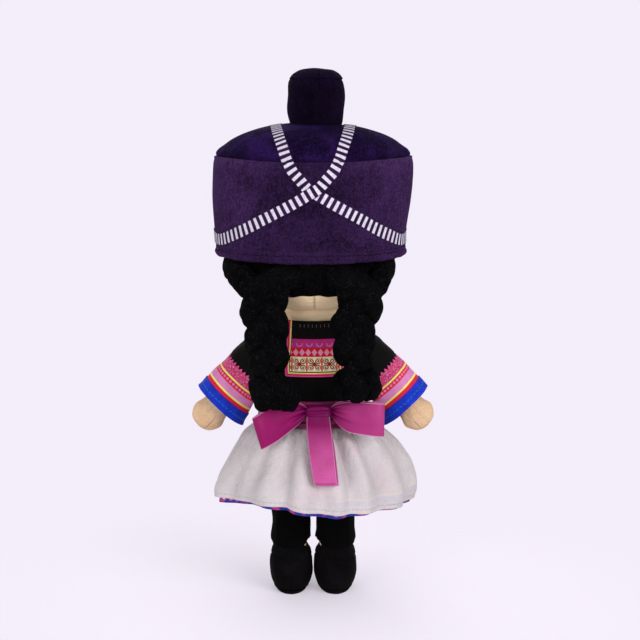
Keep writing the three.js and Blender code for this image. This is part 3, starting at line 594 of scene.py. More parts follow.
def makeArms():
    for name, sign in sides:
        p = form(armStations, 110, 72)
        x, y, z = p[..., 0], p[..., 1], p[..., 2]
        seam = 0.75 * bell(x, sign * 1.5, 0.9) * (y > 0) * smooth(z, -72.5, -69)
        dent = 0.8 * bell(z, -50, 4)
        p = puff(p, 0.3 * crumple(p, 20 + sign, 6, 11) - seam - dent)
        piece = addPiece(f"arm_{name}_skin_plush", inArm(p, sign), "arm_" + name, skinPlush,
                         [f"arm_{name}_skin", f"arm_{name}_stuffing"], capped=True)


legStations = [(3.6, 8, 19, 0, -8.5), (6, 12, 23, 0, -8.5), (13, 14.2, 24, 0, -8.5),
               (20, 14.0, 19.5, 0, -4.5), (29, 13.1, 15, 0, -1.8), (37, 12.1, 12.9), (40.5, 13.4, 13.1),
               (44, 13.2, 12.9), (52, 12.6, 12.6), (60, 12.6, 12.6), (112, 12.6, 12.6), (118, 14.1, 14.1),
               (125, 12.4, 12.4), (130, 7.6, 7.6), (132.2, 1, 1)]


def makeLegs():
    for name, sign in sides:
        p = form(legStations, 120, 72)
        p = puff(p, 0.25 * crumple(p, 30 + sign, 6, 15)) + (sign * hip["out"], 0, 0)
        piece = addPiece(f"leg_{name}_skin_plush", p, "leg_" + name, skinPlush,
                         [f"leg_{name}_skin", f"leg_{name}_stuffing"], capped=True)


# leggings and shoes

legging = dict(top=117.2, hem=40.2, radius=14.2)


def makeLeggings():
    cotton = wovenCloth("legging_cotton", (tint("#010101"), tint("#060506")), 0.01, 0.5, 0.03)
    for name, sign in sides:
        z = np.linspace(legging["top"], legging["hem"], 110)
        angle = turns(96)
        radius = legging["radius"] + 0.7 * bell(z, 40, 7)
        p = ovals(z, radius, radius, angle)
        # the hem is frayed, lower at front and back, and higher where the legs face each other
        frayed = 0.7 * np.sin(angle * 7 + sign) + 0.4 * np.sin(angle * 17 + 2)
        inner = -sign * np.cos(angle)
        frayed = frayed - 2.4 * np.abs(np.sin(angle)) + 3.8 * smooth(inner, 0.5, 0.85)
        frayed = frayed + 1.6 * smooth(-inner, 0.8, 0.96)
        p[..., 2] += frayed * smooth(p[..., 2], 52, 40)
        ripple = 0.45 * crumple(p * (1, 1, 2.2), 40 + sign, 8, 26) * smooth(p[..., 2], 118, 100)
        seam = 0.5 * bell(p[..., 0], sign * 10, 1.2) * (p[..., 1] > 0)
        p = puff(p, np.maximum(ripple, -0.5) - seam) + (sign * hip["out"], 0, 0)
        piece = addPiece(f"legging_{name}_cotton", shell(p, 1.0), "leg_" + name, cotton,
                         ["legging_" + name], wrapRows=True)
        declareSheet(piece, p)


shoeStations = [(3.2, 13.4, 24.2, 0, -8.5), (4.6, 14.6, 25.0, 0, -8.5), (8, 16.0, 26.2, 0, -8.5),
                (13, 17.0, 26.7, 0, -8.5), (20, 16.9, 22.3, 0, -4.5), (28.6, 16.2, 17.6, 0, -1.8),
                (35, 14.9, 15.8, 0, -0.6), (39.2, 13.5, 14.4)]
soleStations = [(0, 10.5, 21.4, 0, -8.5), (0.01, 11.7, 22.6, 0, -8.5), (0.8, 12.4, 23.2, 0, -8.5),
                (2.2, 13.3, 24.1, 0, -8.5), (3, 13.6, 24.4, 0, -8.5), (3.05, 8, 16, 0, -8.5)]


def makeShoes():
    felt = plush("shoe_felt", tint("#040304"), tint("#100e10"), 0.0007, patch=0.4, sheen=0.02, gloss=0.04)
    for name, sign in sides:
        p = form(shoeStations, 90, 110)
        x, y, z = p[..., 0], p[..., 1], p[..., 2]
        ankleSeam = 0.9 * bell(z, 28.6 + 1.2 * np.sin(x / 6), 0.8)
        puffed = 0.5 * bell(z, 24, 5) + 0.35 * bell(z, 34, 4)
        backSeam = 0.5 * bell(x, 0, 0.8) * (y > 0)
        p = puff(p, 0.2 * crumple(p, 50 + sign, 6, 13) - ankleSeam + puffed * 0.6 - backSeam)
        dip = smooth(np.abs(x), 8, 13) * smooth(z, 32, 39.2)
        p[..., 2] -= dip * np.where(x * sign < 0, 2.2, 1.0)
        p = p + (sign * hip["out"], 0, 0)
        piece = addPiece(f"shoe_{name}_upper_felt", shell(p, 1.2), "leg_" + name, felt,
                         [f"shoe_{name}_upper"], wrapRows=True)
        declareSheet(piece, p)
        sole = form(soleStations, 40, 96) + (sign * hip["out"], 0, 0)
        sole[..., 2] = np.clip(sole[..., 2], 0, 3.1)
        addPiece(f"shoe_{name}_sole_felt", sole, "leg_" + name, felt, [f"shoe_{name}_sole"],
                 capped=True)


# shirt, collar flap and lapels

def shirtPoints(z, angle, out):           # the body's form at given heights and angles, further out
    wide, deep = reaches(torsoStations, z)
    x = (wide + out) * np.cos(angle)
    y = (deep + out) * np.sin(angle)
    return np.stack([x, y, z + 0 * x], -1)


blackCotton = wovenCloth("shirt_cotton", (blackDark, blackLight), crease=0.6, sheen=0.02, gloss=0.08)


def makeShirt():
    z = np.linspace(215.8, 149.5, 90)[:, None]
    angle = turns(220)[None]
    p = shirtPoints(z, angle, 1.5)
    draw = 0.8 * crumple(p * (1, 1, 0.5), 61, 9, 20) * bell(p[..., 2], 172, 22)
    armpit = 0.9 * np.sin((np.abs(p[..., 0]) * 0.8 + p[..., 2]) / 3.4) * smooth(np.abs(p[..., 0]), 18, 34)
    covered = (p[..., 1] > 0) * smooth(np.abs(p[..., 0]), 26, 20) * smooth(p[..., 2], 172, 177)
    p = puff(p, np.clip(draw + armpit * 0.5 * bell(p[..., 2], 166, 12), -0.8, 1.6) * (1 - 0.85 * covered))
    p = roomForLimbs(p, 0.3)
    piece = addPiece("shirt_body_cotton", shell(p, 1.0), "torso", blackCotton, ["shirt_body"],
                     wrapRows=True)
    declareSheet(piece, p)


collar = dict(top=217.5, bottom=175.9, topHalf=20.4, bottomHalf=22.2, middle=-1.0, out=3.4)


def collarFinish():
    # from the hem up: pink and red trim, yellow cord, black line, three squares, red with diamonds, a floral
    # ribbon, black cloth
    shop = Shop("collar_ribbons", Roughness=0.75, Sheen_Weight=0.01, Specular_IOR_Level=0.1)
    u, v = shop.uv("pattern")             # u across from the middle, v up from the hem, in millimetres
    bandColour = shop.bands(v, 42, [(0, palette["black"]), (4.0, palette["cream"]), (15.4, palette["red"]),
                                    (22.2, tint("#d42a78")), (29.0, palette["black"])])
    cellU, cellV = (u + 5.7).near(11.4), v - 9.7
    inSquares = (v > 4.4) * (v < 15.0)
    ringX, ringY = cellU.abs() - 2.5, cellV.abs() - 2.5
    ringFar = (ringX * ringX + ringY * ringY) ** 0.5
    turned = ringY.over(ringX) * (1 / (2 * math.pi))
    scroll = (ringFar * (1 / 1.5) - turned).near(1.0).abs().step(0.36, 0.24)
    curl = scroll * ringFar.step(2.6, 2.3)
    cross = (cellU.abs() - cellV.abs()).abs().step(0.42, 0.2) * (cellU.abs() + cellV.abs()).step(3.4, 3.1)
    heart = (cellU.abs() + cellV.abs()).step(2.0, 1.6)
    motif = curl.atLeast(cross).atLeast(heart) * (cellU.abs() < 4.9)
    colour = shop.mix(motif * inSquares, bandColour, palette["maroon"])
    divider = (cellU.abs() > 5.1) * inSquares
    colour = shop.mix(divider, colour, palette["red"])
    inRed = (v > 15.8) * (v < 21.8)
    diamond = ((u + 2.35).near(4.7).abs() / 2.2 + (v - 18.8).abs() / 2.9).step(1.05, 0.9)
    colour = shop.mix(diamond * inRed, colour, tint("#ea9cc4"))
    inFloral = (v > 22.4) * (v < 28.8)
    petal = shop.noise(1.0, 2, where=shop.point(u * 0.42, v * 0.5))
    archX, archY = u.near(7.6), v - 25.6
    arch = ((archX * archX + archY * archY) ** 0.5 - 2.1).abs().step(0.6, 0.3)
    colour = shop.mix(petal.step(0.42, 0.56) * inFloral * 0.8, colour, tint("#a8388f"))
    colour = shop.mix(arch * (v < 25.8) * inFloral * 0.5, colour, tint("#d79ad6"))
    tacks = (u.near(3.1).abs().step(0.28, 0.12)) * ((v - 39).abs() < 1.1) * (u.abs() < 13)
    colour = shop.mix(tacks * 0.55, colour, tint("#8f8496"))
    side, hem = shop.uv("edge")           # distance in from the nearest side edge and up from the hem
    border = side.atMost(hem)
    trim = shop.bands(border, 8, [(0, palette["pink"]), (1.0, palette["red"]), (1.9, palette["pink"]),
                                  (2.4, palette["yellow"]), (3.3, palette["black"])])
    colour = shop.mix(border < 3.9, colour, trim)
    weave = threads(*shop.uv("cloth"), 0.0005)
    worn = shop.noise(260, 3)
    colour = shop.mix(worn.step(0.35, 0.75) * 0.18, colour, tint("#2a1016"))
    height = weave * 0.5 + worn * 0.3 + motif * inSquares * 0.8 + (border < 3.3) * 0.5
    return shop.done(colour, height, 0.0004, 0.6)


def addEdgeMap(piece, side, hem):         # a second map: distances in from the side and up from the hem
    grid = bothFaces(np.stack([side, hem], -1))
    mesh = piece.data
    layer = mesh.uv_layers.new(name="edge")
    corners = np.zeros(len(mesh.loops), np.int32)
    mesh.loops.foreach_get("vertex_index", corners)
    layer.data.foreach_set("uv", grid.reshape(-1, 2)[corners].astype(np.float32).ravel())


def makeCollar():
    t = np.linspace(0, 1, 90)[:, None]    # 0 at the hem
    c = np.linspace(-1, 1, 110)[None]     # across the flap
    z = collar["bottom"] + t * (collar["top"] - collar["bottom"])
    half = collar["bottomHalf"] + t * (collar["topHalf"] - collar["bottomHalf"])
    half = half + 1.6 * np.sin(np.pi * t) * smooth(t, 0.6, 0)
    x = c * half + collar["middle"]
    wide, deep = reaches(torsoStations, z)
    out = collar["out"] + 1.3 * smooth(t, 0.18, 0) + 0.5 * np.abs(c) ** 3
    out = out + 0.5 * np.sin(2.2 * c + 1) * smooth(t, 0.8, 0)
    y = (deep + out) * np.sqrt(1 - (x / (wide + out)) ** 2)
    p = np.stack([x, y, z + 0 * x], -1)
    up = t * (collar["top"] - collar["bottom"]) * 1.02
    piece = addPiece("collar_flap_ribbons", openShell(p, 0.9), "torso", collarFinish(),
                     ["collar_flap"], wrap=False, wrapRows=True, sheetSides=True,
                     pattern=bothFaces(patternGrid(p.shape[:2], c * half, up)))
    addEdgeMap(piece, half * (1 - np.abs(c)), up + 0 * x)
    declareSheet(piece, p, wrap=False)


def stitchedBand(name, ground, first, second, period):
    # a narrow facing with a row of cross-stitched diamonds and crosses; u across and v along, in millimetres
    shop = Shop(name, Roughness=0.75, Sheen_Weight=0.08)
    u, v = shop.uv("pattern")
    cell = v.near(period)
    diamond = (u.abs() / 2.6 + cell.abs() / (period * 0.42)).step(1.05, 0.9)
    heart = (u.abs() / 1.1 + cell.abs() / (period * 0.18)).step(1.05, 0.9)
    edge = (u.abs() > 3.5)
    colour = shop.mix(diamond, ground, first)
    colour = shop.mix(heart, colour, second)
    colour = shop.mix(edge, colour, palette["pink"])
    stitch = ((u * 5.6).sin() * (v * 5.6).sin()).abs()
    worn = shop.noise(300, 3)
    colour = shop.mix(worn.step(0.4, 0.75) * 0.2, colour, palette["blueDark"])
    return shop.done(colour, stitch * 0.7 + diamond * 0.5, 0.0004, 0.6)


lapel = dict(bottom=158, top=215, apart=4.7, spread=9.6, half=4.3, length=58)


def makeLapels():
    finish = stitchedBand("lapel_stitching", palette["blue"], palette["white"], palette["red"], 5.2)
    for name, sign in sides:
        t = np.linspace(0, 1, 80)[:, None]
        c = np.linspace(-1, 1, 24)[None]
        z = lapel["bottom"] + t * (lapel["top"] - lapel["bottom"])
        middle = sign * (lapel["apart"] + lapel["spread"] * t)
        x = middle + c * lapel["half"]
        wide, deep = reaches(torsoStations, z)
        out = 2.9 + 0.25 * np.cos(c * 1.5)
        y = -(deep + out) * np.sqrt(np.maximum(0.05, 1 - (x / (wide + out)) ** 2))
        p = np.stack([x, y, z + 0 * x], -1)
        marks = patternGrid(p.shape[:2], c * lapel["half"], t * lapel["length"])
        piece = addPiece(f"shirt_lapel_{name}_band", openShell(p, 0.8), "torso", finish,
                         ["shirt_lapel_" + name], wrap=False, wrapRows=True, sheetSides=True,
                         pattern=bothFaces(marks))
        declareSheet(piece, p, wrap=False)


# sleeves

sleeve = dict(bandStart=15.5, bandEnd=40.2, cuffEnd=49.5, cuffWide=21.5, cuffDeep=18.0, teeth=32, tooth=2.7)
sleeveTooth = 2 * math.pi * 19 / sleeve["teeth"]   # the pinked edge's pitch, round a ring of 19 mm radius


def sleeveOvals(z, angle, sign, out):     # the sleeve in the arm's frame: pinched halfway, wide at the cuff
    t = np.clip(-z / sleeve["cuffEnd"], 0, 1)
    pinch = 1.2 * np.sin(np.pi * t)
    wide = shoulder["radius"] + t * (sleeve["cuffWide"] - shoulder["radius"]) - pinch + out
    deep = shoulder["radius"] + t * (sleeve["cuffDeep"] - shoulder["radius"]) + out
    side = sign * (1.5 * np.sin(np.pi * t) - 1.9 * t * t)
    return np.stack([side + wide * np.cos(angle), deep * np.sin(angle), z + 0 * angle], -1)


def sleeveFolds(p, sign):                 # soft folds, stronger on the side that meets the body
    inner = smooth(p[..., 0] * -sign, -4, 16)
    return (0.35 + 0.5 * inner) * crumple(p * (1, 1, 1.6), 70 + sign, 7, 19) * smooth(p[..., 2], -49, -30)


def ribbonFinish():
    # from the shoulder down: florals, yellow, red with dots, lilac, yellow, red and magenta
    shop = Shop("sleeve_ribbons", Roughness=0.62, Sheen_Weight=0.02, Specular_IOR_Level=0.25)
    u, v = shop.uv("pattern")             # u round the sleeve, v down from the ribbon's start, in millimetres
    colour = shop.bands(v + 3, 30, [(0, palette["floral"]), (11.6, palette["yellow"]), (13.0, palette["red"]),
                                    (16.9, palette["lilac"]), (22.4, palette["yellow"]),
                                    (24.0, palette["red"]), (26.1, palette["floral"])])
    petal = shop.noise(1.0, 2, where=shop.point(u * 0.34, v * 0.42))
    inFloral = v < 8.2
    colour = shop.mix(petal.step(0.5, 0.58) * inFloral * 0.7, colour, palette["red"])
    colour = shop.mix(petal.step(0.36, 0.3) * inFloral, colour, palette["pink"])
    small = shop.noise(1.0, 2, where=shop.point(u * 0.9 + 7, v * 0.9))
    colour = shop.mix(small.step(0.53, 0.6) * inFloral * 0.7, colour, palette["paleLilac"])
    colour = shop.mix(small.step(0.42, 0.36) * inFloral * 0.6, colour, tint("#e0562c"))
    colour = shop.mix(v.step(1.2, -0.6), colour, palette["pink"])
    dotX, dotY = u.near(3.1), v - 11.95
    dots = ((dotX.abs() + dotY.abs()) / 1.35).step(1.05, 0.8)
    colour = shop.mix(dots, colour, palette["lilac"])
    weave = threads(*shop.uv("cloth"), 0.0004)
    worn = shop.noise(240, 3)
    colour = shop.mix(worn.step(0.4, 0.75) * 0.14, colour, tint("#5a1030"))
    ridge = v.near(3.4).abs() * 0.1
    return shop.done(colour, weave * 0.6 + worn * 0.3 + ridge, 0.0003, 0.6)


def cuffFinish():
    shop = Shop("cuff_cotton", Roughness=0.7, Sheen_Weight=0.02, Specular_IOR_Level=0.2)
    u, v = shop.uv("pattern")
    worn = shop.noise(180, 4, 0.6)
    colour = shop.mix(worn.step(0.35, 0.7), palette["blueDark"], palette["blue"])
    zigzag = (v - 4.6 - (u * 2.3).sin() * 0.45).abs().step(0.45, 0.15) * (u * 1.9 + 1).sin().step(-0.7, -0.2)
    colour = shop.mix(zigzag * 0.75, colour, palette["teal"])
    weave = threads(*shop.uv("cloth"), 0.0005)
    return shop.done(colour, weave * 0.5 + worn * 0.4 + zigzag, 0.0004, 0.6)


def makeSleeves():
    ribbons, cuffBlue = ribbonFinish(), cuffFinish()
    for name, sign in sides:
        lean = np.radians(np.linspace(88, 0, 24))
        domeZ, domeR = shoulder["radius"] * np.sin(lean), shoulder["radius"] * np.cos(lean)
        lower = np.linspace(-1, -24, 26)
        tuck = 0.7 * smooth(-lower, 11, 16)
        top = ovals(domeZ, domeR, domeR, turns(120))
        rest = sleeveOvals(lower[:, None], turns(120)[None], sign, -tuck[:, None])
        p = np.concatenate([top, rest], 0)
        shoulderSeam = 0.6 * bell(p[..., 2], 6, 1.0) * smooth(p[..., 0] * -sign, -2, 8)
        p = puff(p, sleeveFolds(p, sign) * smooth(p[..., 2], 17, 8) - shoulderSeam)
        whole = np.concatenate([p, puff(p, -1.0)[::-1]], 0)
        piece = addPiece(f"sleeve_{name}_cotton", inArm(whole, sign), "arm_" + name, blackCotton,
                         ["sleeve_" + name], capped=True)
        declareSheet(piece, p)
        cols = sleeve["teeth"] * 8
        angle = turns(cols)[None]
        saw = np.abs((np.arange(cols) / 8) % 1 - 0.5) * 2    # 0 at a tooth's tip, 1 in its notch
        start = -sleeve["bandStart"] + sleeve["tooth"] * (0.5 - saw)[None]
        t = np.linspace(0, 1, 44)[:, None]
        z = start + t * (-sleeve["bandEnd"] - start)
        band = sleeveOvals(z, angle + 0 * z, sign, 0.15)
        band = puff(band, sleeveFolds(band, sign))
        along = np.arange(cols + 1) / cols * sleeve["teeth"] * sleeveTooth
        down = np.concatenate([-z - sleeve["bandStart"], (-z - sleeve["bandStart"])[:, :1]], 1)
        piece = addPiece(f"sleeve_{name}_ribbons", inArm(shell(band, 0.7), sign), "arm_" + name, ribbons,
                         [f"sleeve_{name}_band"], wrapRows=True,
                         pattern=bothFaces(patternGrid(down.shape, along, down)))
        declareSheet(piece, band)
        z = np.linspace(-sleeve["bandEnd"] + 0.3, -sleeve["cuffEnd"], 30)[:, None]
        cuff = sleeveOvals(z, turns(160)[None], sign, 0.45)
        creases = 0.35 * crumple(cuff, 90 + sign, 6, 12) * smooth(-z, 43, 48)
        cuff = puff(cuff, sleeveFolds(cuff, sign) + creases)
        marks = patternGrid((30, 161), np.linspace(0, 125, 161), -z - sleeve["bandEnd"])
        piece = addPiece(f"cuff_{name}_cotton", inArm(shell(cuff, 1.3), sign), "arm_" + name, cuffBlue,
                         ["cuff_" + name], wrapRows=True, pattern=bothFaces(marks))
        declareSheet(piece, cuff)


# sash and bow

def satin(name, start, end, glow, selvedge=0.5):
    # satin ribbon: fine threads and a soft gloss; painted shade makes it deepest at the knot, and a painted
    # highlight makes it paler from start to end
    shop = Shop(name, Roughness=0.42, Specular_IOR_Level=0.1, Anisotropic=0.4)
    u, v = shop.uv("pattern")             # u across, v along the ribbon, in millimetres
    fine = shop.noise(1.0, 3, where=shop.point(u * 2.4, v * 1.3))
    broad = shop.noise(40, 2)
    # painted shade darkens the satin towards the knot, and a painted highlight lightens it from start to end
    level = fine.step(0.35, 0.65) * 0.45 + broad.step(0.3, 0.7) * 0.2 + v.step(start * 0.3, end) * 0.35
    level = level * (v.step(-4, start + 16) * 0.8 + 0.2)
    colour = shop.mix(level, magenta["deep"], magenta["mid"])
    lit = v.step(start, end) * (broad.step(0.3, 0.6) * 0.35 + 0.65) * (fine.step(0.3, 0.7) * 0.3 + 0.7)
    colour = shop.mix(lit * glow, colour, magenta["pale"])
    cord = shop.uv("edge")[0].step(0.7, 0.4)
    colour = shop.mix(cord * selvedge, colour, tint("#efb9d8"))
    return shop.done(colour, fine * 0.5 + cord * 1.2, 0.0002, 0.7)


def satinPiece(name, p, body, finish, u, v, edge, inside):
    # a piece of ribbon 0.5 mm thick with all its sides closed, its pattern and edge maps with it
    piece = addPiece(name + "_satin", shell(p, 0.5, wrap=False), body, finish, [name],
                     wrap=False, wrapRows=True, sheetSides=True, inside=inside,
                     pattern=bothFaces(patternGrid(p.shape[:2], u, v)))
    distance = np.broadcast_to(edge, p.shape[:2])
    addEdgeMap(piece, distance, distance)
    return piece


def sashRing(z, out, angle):              # rings round the waist, a distance out from the body's form
    wide, deep = reaches(torsoStations, z)
    return ovals(z, wide + out, deep + out, angle)


def makeSash():
    shop = Shop("sash_satin", Roughness=0.42, Sheen_Weight=0.04, Specular_IOR_Level=0.35, Anisotropic=0.4)
    u, v = shop.uv("cloth")
    fine = shop.noise(1.0, 2, where=shop.point(u * 60, v * 2600))
    broad = shop.noise(60, 3)
    level = fine.step(0.35, 0.65) * 0.35 + broad.step(0.35, 0.7) * 0.35
    colour = shop.mix(level, magenta["deep"], magenta["mid"])
    finish = shop.done(colour, fine * 0.5 + broad * 0.4, 0.0003, 0.5)
    z = np.concatenate([[157, 157.1], np.linspace(156.6, 136.6, 46), [136.1, 136.2]])
    out = np.concatenate([[4.0, 4.9], np.full(46, 5.5), [4.9, 4.0]])
    angle = turns(240)
    p = sashRing(z, out, angle)
    phase = z[:, None] / 5.2 + 0.5 * np.sin(angle * 2 + 1)[None] + 0.35 * np.sin(angle * 5)[None]
    folds = 0.55 * np.sin(2 * np.pi * phase) * smooth(z, 157, 155)[:, None] * smooth(z, 136, 138)[:, None]
    p = p + normals(p) * folds[..., None]
    inner = sashRing(z[::-1], 3.7 + 0 * z, angle)
    piece = addPiece("waist_sash_satin", np.concatenate([p, inner], 0), "torso", finish,
                     ["waist_sash"], wrapRows=True)
    declareSheet(piece, p)
    cotton = wovenCloth("waistband_cotton", whiteCotton)
    z = np.linspace(155.2, 136.2, 16)
    band = sashRing(z, 3.1 + 0 * z, turns(160))
    piece = addPiece("skirt_waistband_cotton", shell(band, 1.1), "torso", cotton,
                     ["skirt_waistband"], wrapRows=True)
    declareSheet(piece, band)


bow = dict(knotX=-4.0, knotY=41.7, knotZ=151.0, knotHalf=10.2, knotDeep=6.2, knotHigh=5.2)


ribbonWide = 24


def makeBow():
    # the right loop is a lit copy of the satin: its stronger painted highlight stands for the light falling
    # on that side
    ribbons = dict(left=satin("bow_satin", 6, 44, 0.05), right=satin("bow_satin_lit", 4, 40, 0.3))
    # each loop's upper and lower edge from its root at the knot to the outer fold: x, height, how far back
    edges = dict(
        left=([(4.6, 154.2, 40.5), (11, 158.0, 41.2), (20, 158.6, 42), (33, 154.4, 43), (45.6, 146.6, 43.6)],
              [(4.6, 149.2, 40.5), (9, 144.4, 42.2), (17, 137.6, 44.2), (27, 130.0, 45.6),
               (38.6, 123.0, 46.2)]),
        right=([(-13.4, 154.2, 40.5), (-19, 157.6, 41.2), (-29, 159.4, 42.2), (-42, 158.8, 43),
                (-54.0, 157.8, 43.4)],
               [(-13.4, 149.2, 40.5), (-17.4, 143.4, 42.2), (-26, 136.8, 44.2), (-38, 134.4, 45.2),
                (-53.4, 132.6, 46)]))
    for name, sign in sides:
        upper, lower = (curve(edge, 60) for edge in edges[name])
        s = np.linspace(0, 1, 60)
        c = np.linspace(0, 1, 44)[None]
        front = upper[:, None] * (1 - c[..., None]) + lower[:, None] * c[..., None]
        x, z, y = front[..., 0], front[..., 1], front[..., 2]
        fan = c + 0.05 * np.sin(3 * c * np.pi) * s[:, None]
        pleat = np.sin(fan * np.pi * 5.0 + 0.6 * sign) * 1.7 * smooth(s, 0.75, 0.02)[:, None]
        belly = 3.0 * np.sin(np.pi * c ** 0.8) * smooth(s, 0.0, 0.5)[:, None]
        gap = (1.2 + 2.1 * smooth(s, 0, 0.4)) * np.sqrt(np.maximum(0, 1 - smooth(s, 0.86, 1.0) ** 2))
        face = np.stack([x, y + pleat + belly * 0.55 + gap[:, None], z], -1)
        rear = np.stack([x, y + pleat * 0.4 - gap[:, None], z], -1)
        p = np.concatenate([face, rear[::-1][1:]], 0)
        p[..., 1] += 0.3 * crumple(p, 100 + sign, 6, 18)
        along = np.linspace(0, 88, len(p))[:, None]
        piece = satinPiece("bow_loop_" + name, p, "torso", ribbons[name], c * ribbonWide, along,
                           ribbonWide * np.minimum(c, 1 - c), (bow["knotX"], 40, 150))
        declareSheet(piece, p, wrap=False)
    # the knot: a strip gathered over the loops' roots, its cross folds drawn together at both ends
    t = np.linspace(-1, 1, 60)[:, None]
    angle = turns(64, 0)[None]
    swell = np.sqrt(np.maximum(0.03, 1.06 - t ** 4))
    flutes = 1 + 0.07 * np.sin(angle * 9 + 2 * t) + 0.05 * np.sin(angle * 5 + 3)
    x = bow["knotX"] + bow["knotHalf"] * t + 0 * angle
    y = bow["knotY"] + bow["knotDeep"] * swell * flutes * np.cos(angle)
    z = bow["knotZ"] + 0.8 * t + (bow["knotHigh"] - 0.5 * t) * swell * flutes * np.sin(angle)
    marks = patternGrid((60, 65), np.linspace(0, 40, 65)[None], t * 9)
    knotPiece = addPiece("bow_knot_satin", np.stack([x, y, z], -1), "torso", ribbons["left"],
                         ["bow_knot"], capped=True, pattern=marks)
    addEdgeAll(knotPiece, 5.0)
    # the tails' satin is painted dark as shade under the knot, with a strong painted highlight towards the
    # cut ends
    makeTails(satin("tail_satin", 16, 60, 1.0, 0.22))


def addEdgeAll(piece, value):             # an edge map that says one distance everywhere: no selvedge
    mesh = piece.data
    layer = mesh.uv_layers.new(name="edge")
    layer.data.foreach_set("uv", np.full(len(mesh.loops) * 2, value, np.float32))


def makeTails(ribbon):
    # each tail: middle x, height, distance back and half width, from under the knot to its cut end
    tails = dict(
        outer=[(-3.8, 148.4, 48.0, 8.6), (-4.1, 143.6, 49.6, 9.0), (-5.0, 134.0, 54.0, 9.3),
               (-6.6, 120.0, 60.2, 9.2), (-9.0, 101.8, 67.0, 8.6)],
        inner=[(-4.8, 145.0, 44.0, 7.6), (-5.4, 140.0, 47.2, 8.0), (-6.9, 130.0, 52.6, 8.6),
               (-8.6, 116.0, 58.8, 8.8), (-10.6, 99.6, 65.2, 8.6)])
    bend = ("torso", "bow_tails", (-4.5, 46.5, 147.5), (-5.5, 52, 136))
    for name, stations in tails.items():
        s = curve(stations, 90)
        c = np.linspace(-1, 1, 36)[None]
        t = np.linspace(0, 1, 90)[:, None]
        x = s[:, 0:1] + c * s[:, 3:4]
        cup = 0.9 * (c ** 2) * smooth(t, 0.9, 0.2) + 0.5 * np.sin(2.6 * c + 4 * t)
        p = np.stack([x, s[:, 2:3] - cup + 0 * x, s[:, 1:2] + 0 * x], -1)
        piece = satinPiece("bow_tail_" + name, p, bend, ribbon, c * 9, t * 52, 9 * (1 - np.abs(c)),
                           (-5, 0, 120))
        declareSheet(piece, p, wrap=False)


# skirts and apron

# raised: how far each skirt's hem is lifted at an angle, in degrees from the doll's left round by its back
skirtShape = dict(top=135.6, hem=76.0, wide=77.0, deep=63.0, waistWide=40.2, waistDeep=31.7,
                  raised=([0, 14, 28, 44, 55, 65, 75, 82, 88, 95, 102, 120, 147, 170, 200, 240, 290, 335],
                          [2, 4, 5.6, 6.5, 6.5, 6.3, 5.5, 3.8, 2, 0.8, 0, -0.3, -0.6, 0.6, 1.0, 0, 0.8, 0.5]))
printShape = dict(top=135.0, hem=71.5, wide=73.4, deep=59.4, waistWide=38.4, waistDeep=29.9,
                  raised=([0, 12, 22, 40, 52, 58, 64, 74, 82, 94,
                           103, 112, 119, 134, 152, 170, 200, 240, 290, 335],
                          [1.8, 3, 4.9, 7.6, 8.8, 8.9, 8, 6.8, 5.1, 2.3,
                           1.2, 1.5, 2.2, 2.9, 2.2, 2.0, 1.5, 0, 0.8, 0.5]))
# soft folds of the skirt: where (degrees), how deep, how wide, and where down the skirt they are strongest
skirtFolds = [(50, -3.4, 7, 0.6), (62, 3.4, 6, 0.75), (74, -5.5, 3.6, 0.45), (83, 4.2, 6, 0.75),
              (95, -2.6, 6, 0.9), (104, 3.6, 5, 0.55), (112, -6.5, 4.0, 0.2), (121, 4.6, 5, 0.45),
              (134, -3.4, 6, 0.7), (147, 2.6, 7, 0.8), (160, -2.6, 7, 0.85), (174, 2.0, 7, 0.9),
              (190, -2.2, 8, 0.9), (205, 2.4, 8, 0.8), (221, -2.8, 8, 0.9), (238, 2.2, 9, 0.8),
              (256, -1.2, 9, 0.9), (275, 1.2, 9, 0.9), (293, -1.6, 9, 0.9), (310, 2.6, 8, 0.8),
              (326, -2.6, 8, 0.9), (342, 2.2, 8, 0.8), (0, -1.6, 7, 0.9), (18, 2.2, 8, 0.8),
              (35, -2.4, 7, 0.7)]


def bump(degrees, at, width):             # 1 at an angle in degrees, falling off both ways round
    return np.exp(-(((degrees - at + 180) % 360 - 180) / width) ** 2)


def skirtPoints(shape, t, angle, out=0.0):
    # a bell that puffs out below the waist and falls ever more steeply, with gathers at the waist and folds
    flare = np.sin(np.clip(t, 0, 1.2) * np.pi / 2) ** 0.85
    wide = shape["waistWide"] + (shape["wide"] - shape["waistWide"]) * flare
    deep = shape["waistDeep"] + (shape["deep"] - shape["waistDeep"]) * flare
    degrees = np.degrees(angle) % 360
    move = 0
    for at, depth, width, strongest in skirtFolds:
        reach = smooth(t, 0, 0.15) * (0.35 + 0.65 * bell(t, strongest, 0.45))
        move = move + 1.15 * depth * bump(degrees, at, width) * reach
    # the skirt is fuller on the right, and on the left it puffs out high up and draws in below
    fuller = 8.6 * np.sin(np.pi * np.clip(t, 0, 1) ** 0.6) * bump(degrees, 185, 32)
    fuller = fuller + (3.2 * bell(t, 0.14, 0.13) - 2.6 * bell(t, 0.62, 0.22)) * bump(degrees, 0, 30)
    gathers = 0.75 * np.sin(angle * 46 + 3 * np.sin(angle * 3)) + 0.4 * np.sin(angle * 71 + 1)
    move = move + fuller + gathers * smooth(t, 0.0, 0.02) * smooth(t, 0.32, 0.03) + out
    x = (wide + move) * np.cos(angle)
    y = (deep + move) * np.sin(angle)
    z = shape["top"] - (shape["top"] - shape["hem"]) * t + 0 * x
    raised = np.interp(degrees, *shape["raised"], period=360)
    return np.stack([x, y, z + raised * smooth(t, 0.4, 1.0)], -1)


